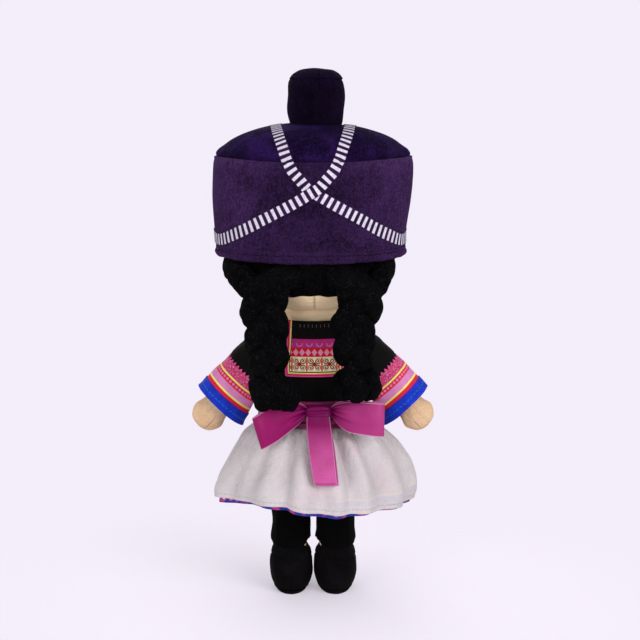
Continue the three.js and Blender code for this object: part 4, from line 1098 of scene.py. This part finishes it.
def skirtFinish():
    shop = Shop("skirt_cotton", Roughness=0.88, Sheen_Weight=0.06)
    u, v = shop.uv("pattern")             # u round the hem, v up from the hem, in millimetres
    cloth = shop.uv("cloth")
    slub = shop.slubs(*cloth, 160, 2400)
    broad = shop.noise(26, 3, 0.55)
    colour = shop.mix(slub.step(0.36, 0.64) * 0.45 + broad.step(0.3, 0.7) * 0.55, *whiteCotton)
    patches = shop.noise(17, 2).step(0.4, 0.62)
    onRight = u.step(228, 242) * u.step(345, 325)
    yellowLine = (v - 14.5 - (u * 0.02).sin() * 1.5).abs().step(1.8, 0.5) * onRight
    blueBand = (v - 10.0).abs().step(3.4, 2.0) * onRight
    pinkBlush = shop.noise(30, 2).step(0.52, 0.66)
    colour = shop.mix(yellowLine * (patches * 0.6 + 0.4) * 0.24, colour, tint("#e6e2a4"))
    colour = shop.mix(blueBand * (patches * 0.5 + 0.5) * 0.24, colour, tint("#9aa6d6"))
    colour = shop.mix(pinkBlush * 0.16, colour, tint("#dba6b8"))
    seamUp = 4.0                          # the hem's stitches are this far above its edge
    stitches = runningStitch(u, v, seamUp, 2.5, 0.4, 0.42)
    colour = shop.mix(stitches * 0.6, colour, tint("#8f7a8c"))
    weave = threads(*cloth, 0.0005)
    fine = shop.noise(140, 3, 0.5, bend=0.9)
    creased = (shop.noise(48, 3, 0.5, bend=0.7) - 0.5).abs().step(0.045, 0.0)
    height = weave * 0.35 + slub * 0.2 + fine * 0.7 + broad * 1.4 - creased * 0.7
    height = height - (v - seamUp).abs().step(0.9, 0.2) * 0.6
    return shop.done(colour, height, 0.0007, 0.6)


def printFinish():
    shop = Shop("printed_cotton", Roughness=0.8, Sheen_Weight=0.06)
    u, v = shop.uv("pattern")
    ground = shop.bands(v, 64, [(0, tint("#0a2290")), (3.0, palette["purple"]), (6.5, palette["floral"]),
                                (9.0, palette["yellow"]), (10.2, palette["blue"]), (24, palette["purple"]),
                                (27, palette["floral"]), (30, palette["blue"]), (46, palette["red"]),
                                (49, palette["blue"])])
    cellX, cellY = u.near(7.5), v.near(9)
    flower = ((cellX * cellX + cellY * cellY) ** 0.5 - 2.0).abs().step(0.7, 0.35)
    spot = (cellX.abs() + cellY.abs()).step(1.5, 1.1)
    colour = shop.mix(flower * 0.85, ground, palette["pink"])
    colour = shop.mix(spot, colour, palette["white"])
    blotch = shop.noise(110, 2).step(0.54, 0.6)
    colour = shop.mix(blotch * (v < 6) * 0.8, colour, palette["floral"])
    weave = threads(*shop.uv("cloth"), 0.0005)
    return shop.done(colour, weave * 0.6 + shop.noise(150, 3) * 0.4, 0.0004, 0.5)


def apronFinish():
    # black cloth with a cross-stitched panel: rows of diamonds between narrow bands, and a blue border
    shop = Shop("apron_stitching", Roughness=0.8, Sheen_Weight=0.08)
    u, v = shop.uv("pattern")             # u across from the middle, v up from the hem, in millimetres
    worn = shop.noise(150, 3)
    colour = shop.mix(worn.step(0.35, 0.7), blackDark, blackLight)
    big = (u.near(13).abs() / 5.6 + (v - 18).abs() / 7.0)
    diamond = (big - 0.8).abs().step(0.22, 0.12)
    core = big.step(0.42, 0.36)
    colour = shop.mix(diamond, colour, palette["pink"])
    colour = shop.mix(core, colour, palette["yellow"])
    small = (u.near(6.5).abs() / 2.4 + (v - 31.5).abs() / 2.6).step(1.05, 0.9)
    colour = shop.mix(small, colour, palette["red"])
    for at, colourName in ((9.5, "red"), (27.6, "yellow"), (35.4, "yellow"), (36.6, "red")):
        colour = shop.mix((v - at).abs().step(0.6, 0.45), colour, palette[colourName])
    edge, hem = shop.uv("edge")
    border = edge.atMost(hem)
    trim = shop.bands(border, 9, [(0, palette["blue"]), (4.6, palette["pink"]), (5.6, palette["white"]),
                                  (6.2, palette["blue"])])
    colour = shop.mix(border < 6.8, colour, trim)
    stitch = ((u * 5.2).sin() * (v * 5.2).sin()).abs()
    return shop.done(colour, stitch * 0.5 + worn * 0.3 + diamond * 0.6, 0.0004, 0.6)


def makeSkirts():
    cols = 420
    angle = turns(cols)[None]
    t = np.linspace(0, 1, 96)[:, None]
    around = np.linspace(0, 440, cols + 1)[None]
    for name, node, shape, finish in (("white_cotton", "skirt", skirtShape, skirtFinish()),
                                      ("printed_cotton", "printed_skirt", printShape, printFinish())):
        p = skirtPoints(shape, t, angle)
        p = puff(p, 0.28 * crumple(p, 120, 9, 24) * smooth(t, 0.05, 0.3) + 0.35 * smooth(t, 0.93, 0.95))
        up = (1 - t) * (shape["top"] - shape["hem"]) * 1.22
        marks = patternGrid((len(t), cols + 1), around, up)
        if node == "printed_skirt":       # its waist runs on up under the sash
            tuckUp = np.linspace(149.0, 136.5, 8)
            p = np.concatenate([sashRing(tuckUp, 1.4, turns(cols)), p], 0)
            tuckMarks = patternGrid((len(tuckUp), cols + 1), around, 80 + tuckUp[:, None])
            marks = np.concatenate([tuckMarks, marks], 0)
        piece = addPiece("skirt_" + name, shell(p, 0.9), "torso", finish, [node], wrapRows=True,
                         pattern=bothFaces(marks))
        declareSheet(piece, p)


apron = dict(top=0.012, hem=0.885, length=62, half=17.5, spread=12.5)


def makeApron():
    t = np.linspace(apron["top"], apron["hem"], 80)[:, None]     # shares of the way down the skirt
    c = np.linspace(-1, 1, 90)[None]
    flare = np.sin(t * np.pi / 2) ** 0.85
    wide = skirtShape["waistWide"] + (skirtShape["wide"] - skirtShape["waistWide"]) * flare
    half = apron["half"] + apron["spread"] * smooth(t, -0.3, 1.1)
    x = c * half
    angle = -np.pi / 2 + np.arcsin(np.clip(x / wide, -0.99, 0.99))
    p = skirtPoints(skirtShape, t + 0 * x, angle, 1.9)
    up = (apron["hem"] - t) * apron["length"]
    piece = addPiece("apron_stitched", openShell(p, 0.9, 45), "torso", apronFinish(),
                     ["apron"], wrap=False, wrapRows=True, sheetSides=True,
                     pattern=bothFaces(patternGrid(x.shape, x, up)))
    addEdgeMap(piece, half - np.abs(x), up + 0 * x)
    declareSheet(piece, p, wrap=False)


# hair and plaits

hairPlush = plush("hair_plush", hairDark, hairLight, 0.0012, patch=0.25, sheen=0.12, speck=tint("#6a6570"),
                  gloss=0.03, lift=1.6)
# the hair's front hem: how far it is above the neck at a distance from the middle
hemAway, hemUp = [0, 6, 13, 28, 40, 48, 53, 56], [43.5, 41, 39.5, 36, 29, 19, 13.5, 12.6]


def makeHair():
    angle = turns(240)[None]
    wide, deep = reaches(headStations, np.array([262.0]))
    x = (wide[0] + 3) * np.cos(angle)
    frontHem = neckUp + np.interp(np.abs(x), hemAway, hemUp)
    backHem = neckUp + 12.6 + 0.5 * np.sin(angle * 9) + 0.35 * np.sin(angle * 23 + 1)
    low = np.where(np.sin(angle) < 0, frontHem, backHem)
    t = np.linspace(0, 1, 70)[:, None]
    z = low + t * (288 - low)
    wide, deep = reaches(headStations, z)
    out = 0.9 + 2.5 * np.sqrt(smooth(t, -0.02, 0.1))
    part = 1.6 * bell(np.cos(angle), 0, 0.03) * (np.sin(angle) < 0)
    p = np.stack([(wide + out - part) * np.cos(angle), (deep + out - part) * np.sin(angle), z], -1)
    sweep = 0.5 * np.sin(p[..., 0] * 0.55 + np.abs(p[..., 2] - 250) * 0.35) * (np.sin(angle) < 0)
    p = puff(p, 0.4 * crumple(p, 131, 8, 15) + sweep * 0.6)
    inner = np.stack([(wide + 0.35) * np.cos(angle), (deep + 0.35) * np.sin(angle), z], -1)
    piece = addPiece("hair_cap_plush", np.concatenate([p, inner[::-1]], 0), "head", hairPlush,
                     ["hair_cap"], wrapRows=True)
    # on each side, one lock sweeps out from the middle and one round from the ear, into the top of the plait:
    # its path, its radius, and how much thinner it gets towards the plait
    locks = dict(
        inner=([(7, 45, 258), (19, 53, 255), (31, 57, 250.5), (41, 57.5, 243.5), (46, 56, 235)], 10.6, 0.14),
        outer=([(58.5, 8, 264), (60, 27, 260.5), (56, 42, 254), (50.5, 51.0, 247), (46, 55, 239)], 9.5, 0.3))
    for name, sign in sides:
        for where, (stations, radius, thinner) in locks.items():
            narrow = 0.9 if sign < 0 and where == "outer" else 1
            path = curve(stations, 70) * (sign * narrow, 1, 1)
            s = np.linspace(0, 1, 70)
            r = radius * np.sqrt(np.maximum(0.02, 1 - np.abs(2 * s - 1) ** 6)) * (1 - thinner * s)
            p = tube(path, r, 40, 0.85)
            p = puff(p, 0.45 * crumple(p, 140 + sign, 7, 12))
            piece = addPiece(f"hair_lock_{name}_{where}", p, "head", hairPlush, [], capped=True)


plait = dict(out=40.0, back=53.0, up=257.0, length=71.0, tuft=27.0, pitch=22.0, radius=9.3, pinch=5.2,
             lean=2.0, tieRadius=7.4)


def strandPath(k, depth, sign):
    # a figure of eight drawn out down the plait, x = A sin, y = B sin of twice the angle, narrow at the tie
    third = 2 * np.pi / 3
    turn = third * (depth / plait["pitch"] + k) + np.pi / 2 - third * plait["length"] / plait["pitch"]
    tie = bell(depth, plait["length"], 7)
    tuft = smooth(depth, plait["length"], plait["length"] + plait["tuft"] / 2)
    top = 1 - smooth(depth, 0, 18)
    wide = ((10 + 4 * top) * (1 - tie) + plait["pinch"] * tie) * (1 - tuft) + 9.5 * tuft
    deep = ((plait["pinch"] - 1.5 * top) * (1 - tie) + plait["pinch"] * tie) * (1 - tuft) + 5.5 * tuft
    held = np.where(tuft > 0, np.pi / 2 + third * k, turn)
    phase = turn * (1 - tuft) + held * tuft
    lean = smooth(depth, 30, 72) if sign > 0 else smooth(depth, 0, 55)
    early = smooth(depth, -5, 12) * smooth(depth, 66, 36)
    inward = lean * (6.6 if sign > 0 else 8.4) + early * (4.4 if sign > 0 else 2.6)
    narrow = 1 - 0.2 * smooth(depth, 15, 60) * (1 - tuft)
    drop = 1.05 if sign > 0 else 0.985    # the left plait hangs a little lower than the right one
    across, away = wide * narrow * np.sin(phase), deep * np.sin(2 * phase)
    # the loose ends: on the right the middle one hangs in front, on the left it hangs behind the other two
    loose = smooth(depth, plait["length"] + 2, plait["length"] + 16)
    ends, fore = ((3.5, -15.0, -6.5), (5.5, 7.5, 3.5)) if sign > 0 else ((10.5, 0.5, -9.5), (-1.5, 5.5, -2.5))
    across = across * (1 - loose) + ends[k] * loose
    away = away * (1 - loose) + fore[k] * loose
    under = smooth(depth, 15, -3)         # the strands come out from under the hat's rim
    x = sign * (across - inward - 2 * under)
    y = away + plait["lean"] * lean - 13 * under
    return np.stack([x + sign * plait["out"], y + plait["back"], plait["up"] - depth * drop + 3 * under], -1)


def makePlaits():
    cord = Shop("tie_thread", Roughness=0.9, Specular_IOR_Level=0.05)
    u, v = cord.uv("cloth")
    wound = ((v * 2600 + u * 300).sin()).abs()
    tieThread = cord.done(cord.mix(wound, tint("#020202"), tint("#0b0a0c")), wound, 0.0003, 0.8)
    for name, sign in sides:
        for k in range(3):
            end = plait["length"] + plait["tuft"]
            depth = np.linspace(-2, end - 1.5, 170)
            path = strandPath(k, depth, sign)
            top = np.sqrt(np.clip((depth + 2.6) / 8, 0.01, 1))
            tip = np.sqrt(np.clip((end - depth) / 10, 0.01, 1))
            squeeze = 1 - 0.42 * bell(depth, plait["length"], 4.5)
            loose = smooth(depth, plait["length"] + 4, plait["length"] + 16)
            fat = plait["radius"] * (0.9 + 0.05 * np.sin(depth / 5 + k) + 0.14 * loose) * top * tip * squeeze
            p = tube(path, fat, 40, 0.95)
            p = puff(p, 0.5 * crumple(p, 150 + 3 * k + sign, 8, 9))
            bend = ("head", "plait_" + name, (sign * 41, 50, 257), (sign * 42, 53, 240))
            piece = addPiece(f"plait_{name}_strand_{k + 1}_plush", p, bend, hairPlush,
                             [f"plait_{name}_strand_{k + 1}"], capped=True)
        middle = np.mean([strandPath(k, np.array([plait["length"]]), sign)[0] for k in range(3)], 0)
        t = turns(120, 0)                 # the tie: a flat band of thread round the strands
        radius = plait["tieRadius"]
        path = middle + np.stack([radius * 1.06 * np.cos(t), radius * np.sin(t), 0.5 * np.sin(t * 2)], -1)
        ring = turns(14, 0)[None, :]
        outward = np.stack([np.cos(t), np.sin(t), 0 * t], -1)
        p = (path[:, None] + outward[:, None] * (1.1 * np.cos(ring))[..., None]
             + np.array([0, 0, 1.0]) * (1.6 * np.sin(ring))[..., None])
        addPiece(f"plait_{name}_tie_thread", p, "plait_" + name, tieThread,
                 [f"plait_{name}_tie"], wrapRows=True)


# hat

hatSide = [(272.8, 75, 63.5), (292, 75.8, 64.3), (319, 76.6, 65), (333, 76.4, 64.8), (338.9, 74.5, 63.1)]
hatTop = [(338.9, 74.5, 63.1), (345.5, 71, 60), (354, 63, 53.5), (361, 49, 41.5), (365.5, 28, 24),
          (367.3, 0.5, 0.5)]
hatProfile = np.vstack([curve(hatSide, 2000), curve(hatTop, 2000)])
hatRound = dict(wide=76, deep=64.5)       # the side band's mean half width and half depth


def hatAngle(p):                          # the angle round the hat's oval
    return np.arctan2(p[..., 1] / hatRound["deep"], p[..., 0] / hatRound["wide"])


def hatPoints(m, angle, out=0.0):         # m runs from the rim, 0, over the seam, 0.5, to the top, 1
    at = np.linspace(0, 1, len(hatProfile))
    z, wide, deep = (np.interp(m, at, hatProfile[:, k]) for k in range(3))
    rise, grow = (np.interp(m, at, np.gradient(hatProfile[:, k])) for k in (0, 1))
    size = np.maximum(np.hypot(rise, grow), 1e-9)
    sideways, up = rise / size, -grow / size
    x = (wide + out * sideways) * np.cos(angle)
    y = (deep + out * sideways) * np.sin(angle)
    return np.stack([x, y, z + out * up + 0 * x], -1)


def ontoHat(p, out):                      # the nearest place on the hat's plush, pushed out by a distance
    angle = hatAngle(p)
    far = hatRound["wide"] * np.hypot(p[..., 0] / hatRound["wide"], p[..., 1] / hatRound["deep"])
    coarse = hatProfile[::4]
    gap = (coarse[:, 1] - far[..., None]) ** 2 + (coarse[:, 0] - p[..., 2:3]) ** 2
    m = np.argmin(gap, -1) / (len(coarse) - 1)
    return hatTilt(hatPoints(m, angle, hatLift(m, angle) + out))


def hatLift(m, angle):                    # how far the plush stands off: puffs, creases and the pinched seam
    p = hatPoints(m, angle)
    top = smooth(m, 0.5, 0.53)
    pucker = 0.5 * np.sin(angle * 19 + 2 * np.sin(angle * 3)) * bell(m, 0.53, 0.03)
    facets = 0.6 * np.sin(angle * 6 + 1) * bell(m, 0.64, 0.1)
    lip = 0.8 * bell(m, 0.468, 0.02) - 0.9 * bell(m, 0.5, 0.006) - 0.4 * bell(m, 0.012, 0.01)
    return 0.6 * crumple(p, 160, 9, 37) * smooth(m, 0, 0.08) + (pucker + facets) * top + lip


hatLean = dict(dip=2.5, rise=4.0, inward=3.4)


def hatTilt(p):
    # the lower edge dips at the back, the seam rises at both sides, and the right side leans in at the bottom
    turn = hatAngle(p)
    x, z = np.cos(turn), p[..., 2]
    tilted = p.copy()
    tilted[..., 2] -= hatLean["dip"] * np.sin(turn) * smooth(z, 299, 272.8)
    tilted[..., 2] += hatLean["rise"] * x ** 2 * smooth(z, 318, 338) * smooth(z, 353, 341)
    tilted[..., 0] += hatLean["inward"] * (x < 0) * x * x * smooth(z, 335, 272)
    return tilted


def hatSeamsAndPaintedLight(shop, colour):
    # stitches above the rim, dark pile in the seam and up the knob, painted shade above the seam and round
    # the knob's foot, a middle painted darker as shade, and painted sheen at the sides
    x, y, z = shop.xyz()
    away = (x * x + y * y) ** 0.5
    lowering = y * (0.0025 / 0.0645)
    rim = z - 0.2745 + lowering
    line = rim.abs().step(0.0008, 0.0003)
    seamUp = z - 0.3389 - x * x * (0.004 / 0.0745 ** 2)
    # the seam line itself is dark pile; the band that fades out above it is painted shade where the top panel
    # meets the side
    crease = seamUp.abs().step(0.001, 0.0002).atLeast(seamUp.step(0.0045, 0.0) * (seamUp > 0) * 0.8)
    crease = crease * away.step(0.04, 0.05)
    knobSeam = (x + 0.0039).abs().step(0.0009, 0.0002) * y.step(0, 0.005) * (z > 0.3675)
    # painted shade round the foot of the knob, where it stands on the top panel
    paintedKnobFootShade = z.step(0.3725, 0.367) * away.step(0.024, 0.021) * (z > 0.3655)
    # painted sheen: just below the seam the band is mixed towards a paler purple, more towards the left and
    # right, where light catches the pile
    paintedSideSheen = seamUp.step(-0.012, -0.002) * (seamUp < 0) * x.abs().step(0.012, 0.05)
    paintedSideSheen = paintedSideSheen * shop.noise(180, 2).step(0.35, 0.6)
    colour = shop.mix(paintedSideSheen * 0.4, colour, tint("#674681"))
    # painted shade: the middle of the side band, front and back, is darkened
    middle = x.abs().step(0.062, 0.02) * (seamUp < 0) * 0.42
    dark = middle.atLeast(line * 0.45).atLeast(crease * 0.6).atLeast(knobSeam * 0.6).atLeast(paintedKnobFootShade * 0.8)
    return shop.mix(dark, colour, tint("#0c0616")), line * 1.2 + knobSeam * 0.8


plumPlush = plush("hat_side_plush", plumDark, plumLight, 0.0012, patch=0.27, sheen=0.2, speck=tint("#9a80bc"),
                  seams=hatSeamsAndPaintedLight, gloss=0.03, pileTint=tint("#a06ac4"), lift=4)
topPlush = plush("hat_top_plush", tint("#010005"), tint("#34185c"), 0.0012, patch=0.48, sheen=0.08,
                 speck=tint("#6a5796"), seams=hatSeamsAndPaintedLight, gloss=0.03, pileTint=tint("#6a4aa0"), lift=4)
knobPlush = plush("hat_knob_plush", tint("#010002"), tint("#13081f"), 0.0012, patch=0.35, sheen=0.11,
                  speck=tint("#4d3a68"), seams=hatSeamsAndPaintedLight, gloss=0.03, pileTint=tint("#6a3f94"), lift=3)


def makeHat():
    angle = turns(300)[None]
    m = np.linspace(0.0, 0.4995, 130)[:, None]
    p = hatTilt(hatPoints(m, angle, hatLift(m, angle)))
    piece = addPiece("hat_side_band_plush", shell(p, 2.2), "head", plumPlush, ["hat_side_band"],
                     wrapRows=True)
    m = np.concatenate([np.linspace(0.5, 0.6, 40), np.linspace(0.605, 0.999, 90)])[:, None]
    p = hatTilt(hatPoints(m, angle, hatLift(m, angle)))
    piece = addPiece("hat_top_panel_plush", p, "head", topPlush,
                     ["hat_top_panel", "hat_stuffing"], capped=True)
    makeRim()
    makeBands()
    makeKnob()


rimRoll = dict(wide=71.2, deep=59.7, up=270.0, radius=4.2)


def makeRim():
    angle = turns(300)
    section = turns(28, 0)[:, None]
    swell = rimRoll["radius"] + 0.25 * np.sin(angle * 11) + 0.2 * np.sin(angle * 29 + 1)
    out = swell[None] * np.cos(section)
    x = (rimRoll["wide"] + out) * np.cos(angle) + hatLean["inward"] * (np.cos(angle) < 0) * np.cos(angle) ** 2
    y = (rimRoll["deep"] + out) * np.sin(angle)
    z = rimRoll["up"] - hatLean["dip"] * np.sin(angle) + 0.8 * swell[None] * np.sin(section)
    piece = addPiece("hat_rim_roll_plush", np.stack([x, y, z], -1), "head", plumPlush,
                     ["hat_rim_roll"], wrapRows=True)
    cotton = wovenCloth("hat_lining_cotton", (tint("#1a0d2c"), tint("#2f1c48")))
    ring = [(275.4, 71.2, 59.8), (276.6, 71.2, 59.8), (276.6, 64.9, 55.9), (275.4, 64.9, 55.9)]
    lining = ovals(*np.array(ring).T, turns(200))
    piece = addPiece("hat_lining_cotton", lining, "head", cotton, ["hat_lining"], wrapRows=True)
    declareSheet(piece, lining[1:3])


hatBand = dict(half=4.4, bar=5.2, thick=0.8)   # bar: from one printed bar to the next


def makeBands():
    # two printed bands, each a closed loop: up from one side across the back, past the knob, down the front
    shop = Shop("hat_band_print", Roughness=0.9, Sheen_Weight=0.03, Specular_IOR_Level=0.05)
    u, v = shop.uv("pattern")             # u across, v along the band, in millimetres
    ragged = shop.noise(700, 3)
    bar = (v.near(hatBand["bar"]).abs() + ragged * 0.5).step(1.6, 1.3)
    bar = bar * (u.abs() + ragged * 0.7).step(4.45, 4.1)
    ground = shop.mix(shop.noise(90, 2), plumDark, shade(plumLight, 0.7))
    pale = shop.mix(ragged.step(0.35, 0.7), tint("#bdb2c8"), tint("#dcd5e2"))
    finish = shop.done(shop.mix(bar, ground, pale), shop.noise(900, 3, 0.65), 0.0009, 0.7)
    half = np.array([(-76.4, 0, 282.5), (-69.4, 25.0, 281.6), (-50.8, 47.6, 289.8), (-34.4, 57.5, 297.8),
                     (-17.3, 63.0, 306.9), (-3.5, 64.9, 315.0), (4.2, 64.9, 319.8), (9.5, 64.5, 325.8),
                     (15.1, 63.6, 332.2), (19.5, 60.1, 340.8), (21.8, 55.5, 348.0), (24.9, 45.5, 356.5),
                     (27.6, 24, 363.4), (28.9, 0, 365.2)])
    for name, mirror, out in (("rising_left", 1, 0.35), ("rising_right", -1, 0.65)):
        back = half * (mirror, 1, 1)
        front = (back * (1, -1, 1))[::-1]
        path = ontoHat(closedCurve(np.vstack([back, front[1:-1]]), 640), 0.0)
        path = (np.roll(path, 1, 0) + 2 * path + np.roll(path, -1, 0)) / 4
        way = np.roll(path, -2, 0) - np.roll(path, 2, 0)
        up = ontoHat(path, 1.0) - ontoHat(path, 0.0)
        across = np.cross(up, way)
        across /= np.linalg.norm(across, axis=1, keepdims=True)
        c = np.linspace(-1, 1, 15)
        strip = path[:, None] + across[:, None] * (hatBand["half"] * c)[:, None]
        # rows across the band, columns along it, so that the loop closes on its columns
        p = ontoHat(strip, out).transpose(1, 0, 2)
        under = ontoHat(strip, out - hatBand["thick"]).transpose(1, 0, 2)
        length = np.linalg.norm(np.roll(path, -1, 0) - path, axis=1)
        total = length.sum()
        bars = round(total / hatBand["bar"])
        along = np.concatenate([[0], np.cumsum(length)]) * (bars * hatBand["bar"] / total)
        marks = bothFaces(patternGrid((len(c), len(along)), hatBand["half"] * c[:, None], along[None]))
        solid = np.concatenate([p, under[::-1]], 0)
        piece = addPiece("hat_band_" + name, solid, "head", finish, [], wrapRows=True,
                         pattern=marks)
        declareSheet(piece, p)


knobOver = (-2.4, 0, 0)                   # the knob sits a little to the doll's right


def makeKnob():
    side = [(364.6, 19.2, 19.2), (368.6, 20.4, 20.4), (376, 21.7, 21.7), (386, 21.9, 21.9), (394, 21.4, 21.4),
            (398.6, 20.3, 20.3), (399.8, 19.4, 19.4)]
    p = form(side, 70, 140)
    backSeam = 0.8 * bell(p[..., 0], -1.5, 0.7) * (p[..., 1] > 0)
    p = puff(p, 0.35 * crumple(p, 170, 8, 16) - backSeam) + knobOver
    piece = addPiece("hat_knob_side_plush", p, "head", knobPlush,
                     ["hat_knob_side", "hat_knob_stuffing"], capped=True)
    top = [(399.4, 18.6, 18.6), (400.0, 19.9, 19.9), (401.0, 20.2, 20.2), (401.9, 19.6, 19.6),
           (404.3, 17.3, 17.3), (406.9, 12.5, 12.5), (408.3, 6, 6), (408.6, 0.6, 0.6)]
    p = form(top, 60, 140)
    p = puff(p, 0.25 * crumple(p, 171, 7, 13) * smooth(p[..., 2], 400, 403)) + knobOver
    piece = addPiece("hat_knob_cap_plush", p, "head", knobPlush, ["hat_knob_cap"], capped=True)


# the doll

makeTorso()
makeHead()
makeFace()
makeArms()
makeLegs()
print("skin pieces made")
makeLeggings()
makeShoes()
makeShirt()
makeCollar()
makeLapels()
makeSleeves()
print("shirt, sleeves, leggings and shoes made")
makeSash()
makeBow()
makeSkirts()
makeApron()
print("sash, bow and skirts made")
makeHair()
makePlaits()
makeHat()
print("hair, plaits and hat made")


# floor, lights and camera

studio = dict(paper=tint("#f4edfa"), world=0.62, key=22.5, fill=14.0, front=10.0)


def makeStudio():                         # a plain world that the camera sees as paper, and three area lights
    world = bpy.data.worlds.new("studio_air")
    scene.world = world
    world.use_nodes = True
    tree = world.node_tree
    tree.nodes.clear()
    ray = tree.nodes.new("ShaderNodeLightPath")
    seen = tree.nodes.new("ShaderNodeBackground")
    light = tree.nodes.new("ShaderNodeBackground")
    pick = tree.nodes.new("ShaderNodeMixShader")
    out = tree.nodes.new("ShaderNodeOutputWorld")
    seen.inputs["Color"].default_value = studio["paper"]
    light.inputs["Color"].default_value = (1, 1, 1, 1)
    light.inputs["Strength"].default_value = studio["world"]
    tree.links.new(ray.outputs["Is Camera Ray"], pick.inputs[0])
    tree.links.new(light.outputs[0], pick.inputs[1])
    tree.links.new(seen.outputs[0], pick.inputs[2])
    tree.links.new(pick.outputs[0], out.inputs["Surface"])
    for name, place, size, power in (("key_light", (-1.1, 1.4, 0.85), 1.0, studio["key"]),
                                     ("fill_light", (1.0, 1.5, 0.3), 1.0, studio["fill"]),
                                     ("front_light", (0.3, -1.5, 1.1), 1.2, studio["front"])):
        lamp = bpy.data.lights.new(name, "AREA")
        lamp.size = size
        lamp.energy = power
        holder = bpy.data.objects.new(name, lamp)
        holder.location = place
        holder.rotation_euler = (Vector((0, 0, 0.2)) - Vector(place)).to_track_quat("-Z", "Y").to_euler()
        scene.collection.objects.link(holder)


def makeFloor():                          # a pale disc that fades into the background away from the doll
    radius, rings, cols = 0.9, 24, 64
    t = np.linspace(0.01, 1, rings)[:, None]
    angle = turns(cols, 0)[None]
    x, y = radius * t * np.cos(angle), radius * t * np.sin(angle)
    points = np.stack([x, y, 0 * x], -1).reshape(-1, 3)
    ids = np.arange(rings * cols).reshape(rings, cols)
    ring = np.concatenate([ids, ids[:, :1]], 1)
    quads = corner(ring, False).reshape(-1, 4)
    mesh = bpy.data.meshes.new("studio_floor")
    mesh.from_pydata(points.tolist(), [], quads[:, ::-1].tolist() + [ids[0].tolist()])
    floor = bpy.data.objects.new("studio_floor", mesh)
    scene.collection.objects.link(floor)
    shop = Shop("floor_paper", Roughness=0.95, Specular_IOR_Level=0.0)
    x, y = shop.xyz()[:2]
    fade = ((x * x + y * y) ** 0.5).step(0.3, 0.08) * 0.62
    shop.surface.inputs["Base Color"].default_value = tint("#fbf5ff")
    clear = shop.tree.nodes.new("ShaderNodeBsdfTransparent")
    pick = shop.tree.nodes.new("ShaderNodeMixShader")
    out = shop.tree.nodes["Material Output"]
    shop.put(pick.inputs[0], fade)
    shop.tree.links.new(clear.outputs[0], pick.inputs[1])
    shop.tree.links.new(shop.surface.outputs[0], pick.inputs[2])
    shop.tree.links.new(pick.outputs[0], out.inputs["Surface"])
    mesh.materials.append(shop.material)


def makeCamera():                         # behind the doll, at the height of its hat, as in the photograph
    view = dict(distance=1.15, height=0.365, aimX=-0.0054, aimZ=0.2155, lens=83.99)
    camera = bpy.data.cameras.new("photo_camera")
    camera.sensor_width = 36
    camera.lens = view["lens"]
    holder = bpy.data.objects.new("photo_camera", camera)
    place = Vector((0, view["distance"] - standForward / 1000, view["height"]))
    aim = Vector((view["aimX"], -standForward / 1000, view["aimZ"]))
    holder.location = place
    holder.rotation_euler = (aim - place).to_track_quat("-Z", "Y").to_euler()
    scene.collection.objects.link(holder)
    scene.camera = holder


makeStudio()
makeFloor()
makeCamera()
scene.view_settings.view_transform = "Standard"
print("floor, lights and camera made")
